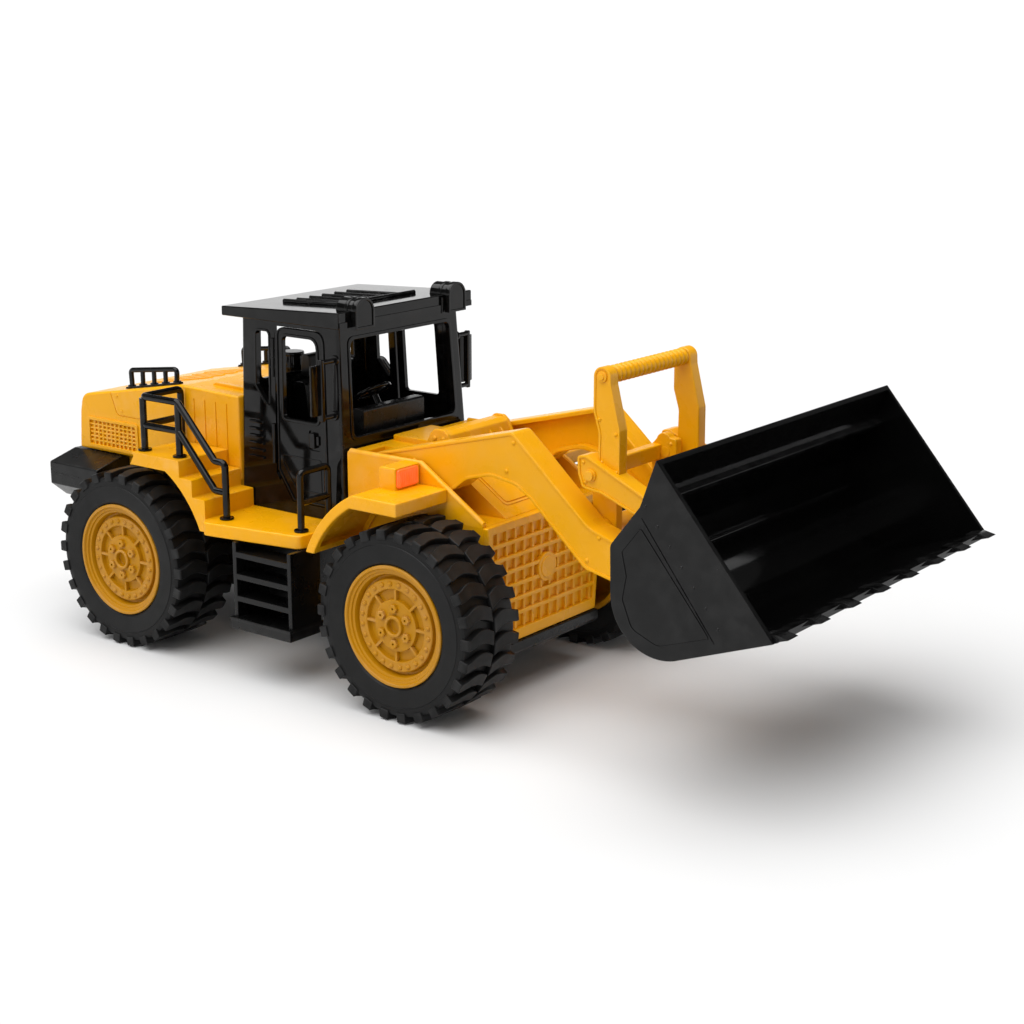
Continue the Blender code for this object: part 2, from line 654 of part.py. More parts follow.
# ---------------------------------------------------------------- linkage

def build_rocker():
    shapes = []
    for side in (-1, 1):
        cheek = capsule(ROCKER_PIVOT, ROCKER_TOP, 7.6, 5.0)
        shapes.append(along_y(cheek, *sided(side, 26.5, 32.5)))
        head = [(79.4, 136.4), (95.6, 136.4), (95.6, 148.8), (91.6, 149.8), (88.6, 151.8), (85.2, 151.6),
                (79.4, 145.2)]
        shapes.append(along_y(head, *sided(side, 26.5, 32.5)))
    shapes.append(block(79.4, 85.8, -27, 27, 136.4, 145.2))
    cuts = [cross_pin(ROCKER_PIVOT, -40, 40, 5.0 + GAP, 20),
            cross_pin(ROCKER_TOP, -40, 40, PIN_RADIUS + GAP)]
    return make("rocker", shapes, "yellow_plastic", cuts, pivot=(ROCKER_PIVOT[0], 0, ROCKER_PIVOT[1]))


def build_lever_arm(side):
    """A link bar from the rocker to the bucket with a handle leg standing on it."""
    pivot = (ROCKER_TOP[0], 0, ROCKER_TOP[1])
    bar = [(80.2, 148.6), (80.6, 141.3), (82.0, 136.8), (84.4, 134.4), (91.5, 133.0), (97.0, 131.6), (104.0, 129.0)]
    bar += arc(LINK_PIN, 8.0, 235, 465, 8)
    bar += [(126.0, 133.3), (86.6, 151.4), (84.4, 151.9), (82.0, 151.2)]
    leg = [(90.6, 140.0), (91.0, 164.0), (87.4, 175.6), (87.4, 194.0)]
    leg += arc((92.8, 194.4), 5.4, 180, 0, 7)
    leg += [(98.4, 192.0), (104.4, 166.5), (104.6, 140.0)]
    shapes = [along_y(bar, *sided(side, 35.2, 47.0)), along_y(leg, *sided(side, 35.2, 43.0))]
    cuts = [cross_pin(LINK_PIN, -60, 60, PIN_RADIUS + GAP), cross_pin(ROCKER_TOP, -60, 60, PIN_RADIUS + GAP)]
    return make(side_name("lever_arm", side), shapes, "yellow_plastic", cuts, pivot=pivot)


def build_lever_middle():
    pivot = (ROCKER_TOP[0], 0, ROCKER_TOP[1])
    reach = 35.2 - GAP
    make("handle_grip", [cross_pin((93.0, 194.6), -reach, reach, 4.6, 16)], "yellow_plastic",
         pivot=pivot, smooth=30)
    beam = along_y([(117.5, 124.5), (122.5, 124.5), (122.5, 131.0), (117.5, 131.0)], -reach, reach)
    make("lever_beam", [beam], "yellow_plastic", pivot=pivot)
    for side in (-1, 1):
        pin = cross_pin(ROCKER_TOP, *sided(side, 26.5, 48.6), PIN_RADIUS, 12)
        make(side_name("link_pin", side), [pin], "steel", pivot=pivot, smooth=30)


# ---------------------------------------------------------------- bucket

def bucket_outline(inset):
    """Side view of the bucket's skin, inset from its outer face."""
    radius = HEEL_RADIUS - inset
    floor = math.degrees(math.atan2(EDGE[1] - 77.4, EDGE[0] - 181.7))
    heel = arc(HEEL_CENTRE, radius, 180, 270 + floor * 0.9, 12)
    nose = math.radians(floor)
    tip = (EDGE[0] - inset * math.sin(nose), EDGE[1] + inset * math.cos(nose))
    back = [(LIP[0] + inset * 0.4, LIP[1] - 0.2 * inset), (168.3 + inset, 151.5), (151.5 + inset, 130 - inset * 0.3)]
    if inset:
        tip = (tip[0] + 20, tip[1] + 20 * math.tan(nose))
        back = [(LIP[0] + 12, LIP[1] + 22), (LIP[0] + inset * 0.95, LIP[1] - 0.2 * inset)] + back[1:]
    return back + heel + [tip]


def lug_outline():
    return [(165, 86), (165, 132)] + arc(LINK_PIN, 8.0, 90, 180, 4) + arc(BUCKET_PIVOT, 8.0, 180, 270, 4)


def edge_frame():
    """Direction along the bucket's floor towards the edge, and its upward normal."""
    run = Vector((EDGE[0] - 181.7, EDGE[1] - 77.4)).normalized()
    return run, Vector((-run.y, run.x))


def edge_quad(back, front, low, high):
    run, up = edge_frame()
    base = Vector(EDGE)
    corners = ((back, low), (front, low), (front, high), (back, high))
    return [tuple(base + run * s + up * t) for s, t in corners]


def build_bucket():
    pivot = (BUCKET_PIVOT[0], 0, BUCKET_PIVOT[1])
    shapes = [along_y(bucket_outline(0), -BUCKET_HALF, BUCKET_HALF)]
    for side in (-1, 1):
        for y0, y1 in ((31.0, 34.2), (ARM_OUTER + GAP, ARM_OUTER + GAP + 3.4)):
            shapes.append(along_y(lug_outline(), *sided(side, y0, y1)))
    inner = BUCKET_HALF - BUCKET_SKIN
    cuts = [along_y(bucket_outline(BUCKET_SKIN), -inner, inner),
            along_y(edge_quad(-7.3, 12, -1.0, 3.4), -inner, inner),
            cross_pin(BUCKET_PIVOT, -60, 60, PIN_RADIUS + GAP),
            cross_pin(LINK_PIN, -60, 60, PIN_RADIUS + GAP)]
    return make("bucket", shapes, "black_plastic", cuts, pivot=pivot)


def build_cutting_edge():
    pivot = (BUCKET_PIVOT[0], 0, BUCKET_PIVOT[1])
    reach = BUCKET_HALF - BUCKET_SKIN - GAP
    shapes = [along_y(edge_quad(-7.0, 0.6, 0.0, 3.0), -reach, reach)]
    run, up = edge_frame()
    pitch = 2 * (reach - 5.0) / (TOOTH_COUNT - 1)
    stub = (TOOTH_TIP - EDGE[0]) / run.x
    for i in range(TOOTH_COUNT):
        y = -reach + 5.0 + pitch * i
        base = Vector(EDGE)
        points = [base + up * 0.2 - run * 2, base + run * stub, base + run * 1.0 + up * 3.6 - run * 4]
        shapes.append(along_y([tuple(p) for p in points], y - 5.0, y + 5.0))
    return make("cutting_edge", shapes, "black_plastic", pivot=pivot)


def build_bucket_pins():
    pivot = (BUCKET_PIVOT[0], 0, BUCKET_PIVOT[1])
    for name, centre in (("bucket_pin_lower", BUCKET_PIVOT), ("bucket_pin_upper", LINK_PIN)):
        make(name, [cross_pin(centre, -56.2, 56.2, PIN_RADIUS, 12)], "steel", pivot=pivot, smooth=30)


# ---------------------------------------------------------------- assembly

def build():
    clear_scene()
    build_wheels()
    build_rear_chassis()
    build_screws()
    build_hood()
    build_counterweight()
    build_cab_shell()
    build_roof()
    build_seat()
    build_dashboard()
    build_steering()
    build_air_cleaner()
    build_front_frame()
    build_grille()
    build_front_bumper()
    for side in (-1, 1):
        build_side_deck(side)
        build_hood_rail(side)
        build_rear_handrail(side)
        build_front_handrail(side)
        build_ladder(side)
        build_door(side)
        build_roof_lamp(side)
        build_mirror(side)
        build_fender(side)
        build_lamp_lens(side)
        build_boom_arm(side)
        build_lever_arm(side)
    build_boom_cross_members()
    build_rocker()
    build_lever_middle()
    build_bucket()
    build_cutting_edge()
    build_bucket_pins()


build()
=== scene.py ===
import json
from math import atan2, cos, degrees, pi, radians, sin, sqrt, tan, tau

import bmesh
import bpy
from mathutils import Matrix, Vector


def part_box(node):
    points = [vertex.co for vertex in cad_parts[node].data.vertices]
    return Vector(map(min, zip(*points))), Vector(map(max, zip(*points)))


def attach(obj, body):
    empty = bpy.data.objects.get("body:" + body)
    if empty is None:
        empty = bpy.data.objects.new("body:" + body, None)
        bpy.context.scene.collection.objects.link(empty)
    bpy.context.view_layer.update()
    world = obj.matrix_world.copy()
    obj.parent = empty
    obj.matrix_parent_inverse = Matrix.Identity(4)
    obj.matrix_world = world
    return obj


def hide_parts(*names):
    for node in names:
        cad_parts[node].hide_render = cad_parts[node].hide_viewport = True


# Looks of the toy front loader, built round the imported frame.
# Lengths are millimetres, x is measured from the front axle, +X is forward, +Y left, +Z up.

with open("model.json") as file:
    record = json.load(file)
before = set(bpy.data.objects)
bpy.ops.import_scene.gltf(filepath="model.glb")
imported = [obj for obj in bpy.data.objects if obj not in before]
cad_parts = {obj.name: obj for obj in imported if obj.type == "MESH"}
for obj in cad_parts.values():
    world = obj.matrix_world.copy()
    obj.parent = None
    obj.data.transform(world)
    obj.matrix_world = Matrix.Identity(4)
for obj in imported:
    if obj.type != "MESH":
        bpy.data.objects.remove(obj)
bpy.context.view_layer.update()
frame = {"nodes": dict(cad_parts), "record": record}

MM = 0.001
_axle_low, _axle_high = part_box("axle_front")
AXLE_X = (_axle_low.x + _axle_high.x) / 2 / MM
_rear_low, _rear_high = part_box("axle_rear")
REAR_X = (_rear_low.x + _rear_high.x) / 2 / MM - AXLE_X
AXLE_Z = (_axle_low.z + _axle_high.z) / 2 / MM
WHEEL_Y = 86.0
SHARP = 50  # degrees; flatter edges of bars and bands stay unrounded
THROUGH = 90.0  # half length of a cut through the whole cab or tail
DECK_TOP = 90.4


# ---- shapes

def place(p):
    return Vector(((p[0] + AXLE_X) * MM, p[1] * MM, p[2] * MM))


def loft(rings, loop=False):
    """Skin a row of equal rings; the ends are capped unless loop."""
    bm = bmesh.new()
    rows = [[bm.verts.new(p) for p in ring] for ring in rings]
    pairs = list(zip(rows, rows[1:]))
    if loop:
        pairs.append((rows[-1], rows[0]))
    count = len(rows[0])
    for first, second in pairs:
        for i in range(count):
            j = (i + 1) % count
            bm.faces.new((first[i], first[j], second[j], second[i]))
    if not loop:
        bm.faces.new(rows[0])
        bm.faces.new(rows[-1])
    bmesh.ops.remove_doubles(bm, verts=bm.verts, dist=0.01)
    bmesh.ops.recalc_face_normals(bm, faces=bm.faces)
    return bm


def soften(bm, width, segments=2, angle=30):
    """Round every edge sharper than angle."""
    if width <= 0:
        return bm
    limit = radians(angle)
    edges = [e for e in bm.edges if len(e.link_faces) == 2 and e.calc_face_angle(0.0) > limit]
    bmesh.ops.bevel(bm, geom=edges, offset=width, segments=segments, profile=0.5, affect="EDGES",
                    clamp_overlap=True)
    return bm


def along_y(outline, y0, y1, bevel=0.0, segments=2):
    return soften(loft([[(x, y, z) for x, z in outline] for y in (y0, y1)]), bevel, segments)


def along_x(outline, x0, x1, bevel=0.0, segments=2):
    return soften(loft([[(x, y, z) for y, z in outline] for x in (x0, x1)]), bevel, segments)


def along_z(outline, z0, z1, bevel=0.0, segments=2):
    return soften(loft([[(x, y, z) for x, y in outline] for z in (z0, z1)]), bevel, segments)


def through(outline):
    return along_y(outline, -THROUGH, THROUGH)


def flank(side, outline, y0, y1, bevel=0.0, segments=2):
    """An outline across Y drawn out from y0 to y1 on one side of the toy."""
    return along_y(outline, *sided(side, y0, y1), bevel, segments)


def block(x0, x1, y0, y1, z0, z1, bevel=0.0, segments=2):
    return along_y([(x0, z0), (x1, z0), (x1, z1), (x0, z1)], y0, y1, bevel, segments)


def turns(count, shift=0.0):
    """Angles spaced evenly round a circle."""
    return [tau * (i + shift) / count for i in range(count)]


def circle(radius, segments, axis, centre):
    """Points round an axis through centre."""
    quat = Vector(axis).to_track_quat("Z", "Y")
    return [Vector(centre) + quat @ Vector((radius * cos(a), radius * sin(a), 0))
            for a in turns(segments)]


def rod(start, end, radius, segments=20, bevel=0.0):
    start, end = Vector(start), Vector(end)
    rings = [circle(radius, segments, end - start, centre) for centre in (start, end)]
    return soften(loft(rings), bevel, 2, SHARP)


def rod_y(centre, y0, y1, radius, segments=20, bevel=0.0):
    """A rod across the toy, round an (x, z) centre."""
    return rod((centre[0], y0, centre[1]), (centre[0], y1, centre[1]), radius, segments, bevel)


def rod_z(x, y, z0, z1, radius, segments=20, bevel=0.0):
    """An upright rod."""
    return rod((x, y, z0), (x, y, z1), radius, segments, bevel)


def dome(centre, axis, radius, height, segments=12):
    """A rivet head standing on a surface."""
    axis = Vector(axis).normalized()
    return loft([circle(radius * sqrt(max(1 - max(share, 0) ** 2, 0.02)), segments, axis,
                        Vector(centre) + axis * height * share) for share in (-0.5, 0.0, 0.45, 0.8, 1.0)])


def arc(centre, radius, start, end, steps):
    """Points on an arc, angles in degrees."""
    angles = [radians(start + (end - start) * i / steps) for i in range(steps + 1)]
    return [(centre[0] + radius * cos(a), centre[1] + radius * sin(a)) for a in angles]


def corner(before, p, after, size, share, steps):
    """Points that round the corner at p, using at most a share of each side."""
    a, b = before - p, after - p
    cut = min(size / max(tan(a.angle(b) / 2), 0.05), a.length * share, b.length * share)
    pa, pb = p + a.normalized() * cut, p + b.normalized() * cut
    return [pa * (1 - t) ** 2 + p * 2 * t * (1 - t) + pb * t ** 2
            for t in (k / steps for k in range(steps + 1))]


def rounded(points, radius, steps=4):
    """The polygon with its corners rounded; radius is one size or one for each corner."""
    points = [Vector(p) for p in points]
    radii = radius if isinstance(radius, (list, tuple)) else [radius] * len(points)
    out = []
    for i, size in enumerate(radii):
        if size <= 0:
            out.append(tuple(points[i]))
            continue
        after = points[(i + 1) % len(points)]
        out += [tuple(p) for p in corner(points[i - 1], points[i], after, size, 0.48, steps)]
    return out


def box_outline(a0, a1, b0, b1, radius, steps=4):
    return rounded([(a0, b0), (a1, b0), (a1, b1), (a0, b1)], radius, steps)


def inset(points, distance):
    """The polygon drawn in by a distance all round, point for point, corners closing up."""
    count = len(points)
    points = [Vector(p) for p in points]
    area = sum(points[i - 1].cross(points[i]) for i in range(count))
    sign = 1 if area > 0 else -1
    raw = []
    for i, p in enumerate(points):
        before = (p - points[i - 1]).normalized()
        after = (points[(i + 1) % count] - p).normalized()
        side = Vector((-before.y, before.x)) * sign
        normal = side + Vector((-after.y, after.x)) * sign
        normal = normal.normalized() if normal.length > 1e-6 else side
        raw.append(p + normal * distance / max(normal.dot(side), 0.4))

    way = sign if distance > 0 else -sign
    reach = abs(distance)
    out = []
    for q in raw:
        for _ in range(60):
            least, push = None, None
            for a, b in zip(points, points[1:] + points[:1]):
                run = b - a
                share = min(max((q - a).dot(run) / max(run.length_squared, 1e-9), 0), 1)
                off = q - (a + run * share)
                gap = off.length if run.cross(off) * way > 0 else -off.length
                if least is None or abs(gap) < abs(least) - 1e-6:
                    least, push = gap, off * (1 if gap > 0 else -1)
            if least >= reach * 0.99 or push.length < 1e-6:
                break
            q = q + push.normalized() * (reach - least)
        out.append(tuple(q))
    return out


# where a point of an outline goes, for a face across each axis
def on_x(y, z, x):
    return x, y, z


def on_y(x, z, y):
    return x, y, z


def on_z(x, y, z):
    return x, y, z


def rim_band(outline, width, y0, y1, bevel=0.3):
    """A raised band that runs just inside an outline, on a face across Y."""
    return band(outline, inset(outline, width), y0, y1, bevel)


def band(outline, inner, low, high, bevel=0.3, put=on_y):
    """A raised band between two outlines of as many points; put turns its points into space."""
    levels = ((outline, low), (outline, high), (inner, high), (inner, low))
    rings = [[put(a, b, t) for a, b in points] for points, t in levels]
    return soften(loft(rings, loop=True), bevel, 2, SHARP)


def ribbon(path, width):
    """Outline of a strip of a given width along a flat path."""
    left, right = [], []
    for i, p in enumerate(path):
        p = Vector(p)
        a = Vector(path[max(i - 1, 0)])
        b = Vector(path[min(i + 1, len(path) - 1)])
        run = (b - a).normalized()
        side = Vector((-run.y, run.x)) * width / 2
        left.append(tuple(p + side))
        right.append(tuple(p - side))
    return left + right[::-1]


def fillet(path, radius, steps=5):
    """A 3-D path with its corners rounded."""
    path = [Vector(p) for p in path]
    out = path[:1]
    for before, p, after in zip(path, path[1:], path[2:]):
        out += corner(before, p, after, radius, 0.45, steps)
    return out + path[-1:]


def sweep(path, radius, segments=14):
    """A round bar along a path."""
    path = [Vector(p) for p in path]
    runs = [(b - a).normalized() for a, b in zip(path, path[1:])]
    tangents = [runs[0]] + [(a + b).normalized() for a, b in zip(runs, runs[1:])] + [runs[-1]]
    normal = tangents[0].orthogonal().normalized()
    rings = []
    for p, tangent in zip(path, tangents):
        normal = (normal - tangent * normal.dot(tangent)).normalized()
        side = tangent.cross(normal)
        rings.append([p + (normal * cos(a) + side * sin(a)) * radius for a in turns(segments)])
    return loft(rings)


def turned(profile, centre, side, segments):
    """A (radius, offset) profile turned about the Y line through centre."""
    bm = bmesh.new()
    rows = []
    for radius, offset in profile:
        rows.append([bm.verts.new((centre[0] + radius * cos(a), centre[1] + side * offset,
                                   centre[2] + radius * sin(a)))
                     for a in turns(segments if radius else 1)])
    for first, second in zip(rows, rows[1:] + rows[:1]):
        for i in range(segments):
            j = (i + 1) % segments
            face = [row[k % len(row)] for row, k in ((first, i), (first, j), (second, j), (second, i))]
            face = list(dict.fromkeys(face))
            if len(face) > 2:
                bm.faces.new(face)
    bmesh.ops.recalc_face_normals(bm, faces=bm.faces)
    return bm


def moved(bm, matrix):
    bmesh.ops.transform(bm, matrix=matrix, verts=bm.verts)
    return bm


def merged(shapes):
    """Several shapes as islands of one mesh."""
    out = bmesh.new()
    for bm in shapes:
        mesh = bpy.data.meshes.new("part")
        bm.to_mesh(mesh)
        bm.free()
        out.from_mesh(mesh)
        bpy.data.meshes.remove(mesh)
    return out


def sided(side, y0, y1):
    return sorted((side * y0, side * y1))


def link(obj):
    bpy.context.scene.collection.objects.link(obj)


def to_object(name, bm):
    for vert in bm.verts:
        vert.co = place(vert.co)
    obj = bpy.data.objects.new(name, bpy.data.meshes.new(name))
    bm.to_mesh(obj.data)
    bm.free()
    link(obj)
    return obj


def combine(obj, bm, operation):
    tool = to_object("tool", bm)
    bpy.context.view_layer.update()
    modifier = obj.modifiers.new("combine", "BOOLEAN")
    modifier.operation, modifier.solver, modifier.object = operation, "EXACT", tool
    result = obj.evaluated_get(bpy.context.evaluated_depsgraph_get())
    mesh = bpy.data.meshes.new_from_object(result)
    obj.modifiers.clear()
    obj.data = mesh
    bpy.data.objects.remove(tool)


def piece(name, look, shapes, body="chassis", nodes=(), cuts=(), details=(), smooth=32, bend=None, side=0):
    """One visible piece: shapes fused, cuts taken away, details set on it, riding on a CAD body.

    With a side, the names of the piece and of the nodes it replaces end in _left or _right.
    """
    if side:
        name, nodes = mirror_name(name, side), [mirror_name(node, side) for node in nodes]
    obj = to_object(name, shapes[0])
    for operation, tools in (("UNION", shapes[1:]), ("DIFFERENCE", cuts)):
        for bm in tools:
            combine(obj, bm, operation)
    bm = bmesh.new()
    bm.from_mesh(obj.data)
    if details:
        extra = to_object("extra", merged(details))
        bm.from_mesh(extra.data)
        bpy.data.objects.remove(extra)
    if bend:
        for vert in bm.verts:
            vert.co = place(bend(vert.co.x / MM - AXLE_X, vert.co.y / MM, vert.co.z / MM))
    for face in bm.faces:
        face.material_index = 0
    mesh = bpy.data.meshes.new(name)
    bm.to_mesh(mesh)
    bm.free()
    obj.data = mesh
    mesh.materials.append(LOOKS[look])
    mesh.shade_smooth()
    mesh.set_sharp_from_angle(angle=radians(smooth))
    obj.modifiers.new("weighted", "WEIGHTED_NORMAL").keep_sharp = True
    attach(obj, body)
    if nodes:
        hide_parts(*nodes)


def mirror_name(base, side):
    return f"{base}_left" if side > 0 else f"{base}_right"


# ---- materials


# scales of the noise, in bumps per metre
BLOTCHES, SHEEN, RUBBED = 22.0, 60.0, 130.0


def surface(name, colour, rough, grain, bump, tint, edge, gloss=0.27, metallic=0.0):
    """Moulded surface: broad and fine variation in colour, gloss and height, paler worn edges."""
    mat = bpy.data.materials.new(name)
    mat.use_nodes = True
    nodes, links = mat.node_tree.nodes, mat.node_tree.links

    def fill(node, inputs):
        for key, value in inputs.items():
            if isinstance(value, bpy.types.NodeSocket):
                links.new(value, node.inputs[key])
            else:
                node.inputs[key].default_value = value

    def add(kind, output, inputs, **settings):
        """A new node with its inputs set or linked; gives one of its outputs."""
        node = nodes.new("ShaderNode" + kind)
        for key, value in settings.items():
            setattr(node, key, value)
        fill(node, inputs)
        return node.outputs[output]

    def noise(scale, detail):
        return add("TexNoise", "Fac", {"Vector": where, "Scale": scale, "Detail": detail})

    def ramp(source, low, high, first=0.0, last=1.0):
        return add("MapRange", "Result", {"Value": source, "From Min": low, "From Max": high,
                                          "To Min": first, "To Max": last})

    def mix(factor, first, second):
        return add("Mix", 2, {0: factor, 6: first, 7: second}, data_type="RGBA")

    where = add("TexCoord", "Object", {})
    dark = tuple(c * (1 - tint) for c in colour) + (1.0,)
    pale = tuple(min(c * (1 + tint), 1.0) for c in colour) + (1.0,)
    worn = tuple(min(c + (1 - c) * edge, 1.0) for c in colour) + (1.0,)
    body = mix(ramp(noise(BLOTCHES, 5.0), 0.35, 0.65), dark, pale)
    wear = add("Math", 0, {0: ramp(add("NewGeometry", "Pointiness", {}), 0.515, 0.60),
                           1: ramp(noise(RUBBED, 3.0), 0.4, 0.7)}, operation="MULTIPLY")
    relief = add("Bump", "Normal", {"Strength": bump, "Distance": 0.0002, "Height": noise(grain, 3.0)})
    fill(nodes["Principled BSDF"],
         {"Metallic": metallic, "Specular IOR Level": gloss, "Base Color": mix(wear, body, worn),
          "Roughness": ramp(noise(SHEEN, 6.0), 0.3, 0.7, *rough), "Normal": relief})
    return mat


LOOKS = {
    "yellow": surface("yellow_plastic", (0.80, 0.365, 0.0015), (0.24, 0.34), 900.0, 0.03, 0.02, 0.05,
                      gloss=0.24),
    "black": surface("black_plastic", (0.0016, 0.0015, 0.0014), (0.05, 0.11), 500.0, 0.008, 0.25, 0.01),
    "satin": surface("satin_black_plastic", (0.0022, 0.0022, 0.0022), (0.22, 0.34), 900.0, 0.04, 0.25, 0.012),
    "bucket": surface("bucket_plastic", (0.0018, 0.0018, 0.0018), (0.09, 0.16), 700.0, 0.012, 0.25, 0.012),
    # rim: the yellow plastic darkened to about half, painted shade for the recessed wheel dish
    "rim": surface("rim_yellow_in_painted_shade", (0.43, 0.19, 0.0015), (0.30, 0.42), 900.0, 0.05, 0.03, 0.05, gloss=0.22),
    "rubber": surface("tyre_rubber", (0.0042, 0.0042, 0.0042), (0.40, 0.56), 1300.0, 0.12, 0.2, 0.012,
                      gloss=0.2),
    "lens": surface("orange_lens", (0.95, 0.13, 0.02), (0.12, 0.22), 600.0, 0.05, 0.06, 0.05, gloss=0.4),
    "steel": surface("pin_steel", (0.52, 0.52, 0.54), (0.25, 0.42), 1100.0, 0.08, 0.05, 0.10, metallic=1.0),
}
# The signal lens glows faintly orange: painted light, as the lamp is not lit.
_lens = LOOKS["lens"].node_tree.nodes["Principled BSDF"]
_lens.inputs["Emission Color"].default_value = (1.0, 0.20, 0.03, 1.0)
_lens.inputs["Emission Strength"].default_value = 0.30


def dress_frame():
    """The CAD pieces that stay visible take the same plastics."""
    slots = {entry["node"]: entry["material_slot"] for entry in frame["record"]["subparts"]}
    looks = {"yellow_plastic": "yellow", "black_plastic": "satin", "tyre_rubber": "rubber",
             "orange_lens": "lens", "steel": "steel"}
    for name, obj in frame["nodes"].items():
        mat = LOOKS[looks[slots[name]]]
        if not obj.data.materials:
            obj.data.materials.append(mat)
        for slot in obj.material_slots:
            slot.material = mat


# ---- wheels

TYRE_R = 55.0
LUGS = 26  # on each half of the tread
STUDS, RIM_RIBS, NUTS = 24, 8, 6


def tyre_shape(centre, side):
    wall = [(34.9, 16.0), (34.9, 20.6), (36.2, 21.6), (38.5, 21.9), (46.0, 22.2), (46.4, 21.8),
            (49.5, 21.7), (51.0, 21.0), (51.5, 19.0), (51.7, 12.0)]
    carcass = [(radius, -offset) for radius, offset in wall] + [(51.8, 0.0)] + wall[::-1]
    return turned(carcass + [(48.0, 14.0), (48.0, -14.0)], centre, side, 104)


def lug_shape(centre, side, half, index):
    """One wavy bar of tread from the shoulder to just past the middle."""
    start = tau / LUGS * (index + (0.5 if half < 0 else 0.0))
    rings = []
    for share in (0.0, 0.025, 0.08, 0.18, 0.28, 0.38, 0.48, 0.58, 0.68, 0.78, 0.90, 1.0):
        offset = 22.45 - 22.0 * share
        base = 49.0 if share < 0.1 else 51.0
        top = {0.0: 53.9, 0.025: 54.7}.get(share, TYRE_R - 0.6 * (offset / 22.5) ** 4)
        sway = 3.0 * sin(pi * max(share - 0.12, 0) / 0.88) - 1.0 * share
        width = 6.4 + 2.2 * min(share * 1.6, 1.0)
        ring = []
        for radius, edge in ((base, -0.54), (top, -0.46), (top, 0.46), (base, 0.54)):
            a = start + (sway + edge * width) / TYRE_R
            ring.append((centre[0] + radius * cos(a), centre[1] + side * half * offset,
                         centre[2] + radius * sin(a)))
        rings.append(ring)
    return soften(loft(rings), 0.28, 1, SHARP)


def build_tyre(end, x, side):
    centre = (x, side * WHEEL_Y, AXLE_Z)
    lugs = [lug_shape(centre, side, half, index) for half in (-1, 1) for index in range(LUGS)]
    name = mirror_name(f"tyre_{end}", side)
    piece(name + "_tread", "rubber", [tyre_shape(centre, side), merged(lugs)],
          body=mirror_name(f"wheel_{end}", side), nodes=[name], smooth=30)


def build_rim(end, x, side):
    centre, out = (x, side * WHEEL_Y, AXLE_Z), Vector((0, side, 0))
    hub = Vector(centre)
    profile = [(0, 17.4), (4.0, 17.4), (4.2, 17.6), (4.3, 20.5), (4.7, 20.9), (5.7, 20.9), (6.1, 20.5),
               (6.3, 18.9), (13.9, 18.7), (14.6, 18.3), (14.9, 15.9), (19.9, 15.8), (20.3, 16.4),
               (20.6, 18.3), (21.0, 18.6), (25.8, 18.6), (26.3, 18.2), (26.5, 15.6), (27.0, 15.0),
               (28.2, 15.3), (29.0, 18.0), (29.3, 18.9), (30.6, 19.2), (30.9, 20.2), (32.2, 20.5),
               (32.5, 21.4), (32.9, 21.8), (34.2, 21.8), (34.6, 21.3), (34.6, -20.3), (33.8, -20.8),
               (31.5, -20.6), (31.2, -19.8), (29.0, 3.0), (27.0, 6.0), (9.0, 6.0), (7.6, 5.0),
               (7.2, -19.6), (6.9, -19.9), (3.0, -19.9), (3.0, 0.0), (0, 0.0)]

    def spots(count, radius, offset):
        return [hub + Vector((radius * cos(a), side * offset, radius * sin(a)))
                for a in turns(count, 0.5)]

    details = [dome(spot, out, 1.55, 1.25, 8) for spot in spots(STUDS, 23.7, 18.55)]
    flat = Matrix(((1, 0, 0, 0), (0, 0, side, 0), (0, 1, 0, 0), (0, 0, 0, 1)))
    for a in turns(RIM_RIBS):
        rib = block(14.2, 20.7, -0.8, 0.8, -1.0, 1.4, 0.3)
        turn = Matrix.Rotation(-a, 4, "Y")
        details.append(moved(rib, Matrix.Translation(hub + out * 16.9) @ turn @ flat))
    for spot in spots(NUTS, 10.1, 18.7):
        steps = ((2.7, -0.4), (2.7, 1.8), (2.35, 2.1), (0.75, 2.1), (0.75, 0.2))
        details.append(loft([circle(radius, 6, out, spot + out * height) for radius, height in steps]))
    for bm in details:
        bmesh.ops.recalc_face_normals(bm, faces=bm.faces)
    name = mirror_name(f"rim_{end}", side)
    piece(name + "_disc", "rim", [turned(profile, centre, side, 96)], body=mirror_name(f"wheel_{end}", side),
          nodes=[name], details=details, smooth=30)


# ---- rear half

HOOD_TOP = ((-283.0, 144.8), (-212.0, 157.2))


def hood_z(x):
    (x0, z0), (x1, z1) = HOOD_TOP
    return z0 + (z1 - z0) * (x - x0) / (x1 - x0)


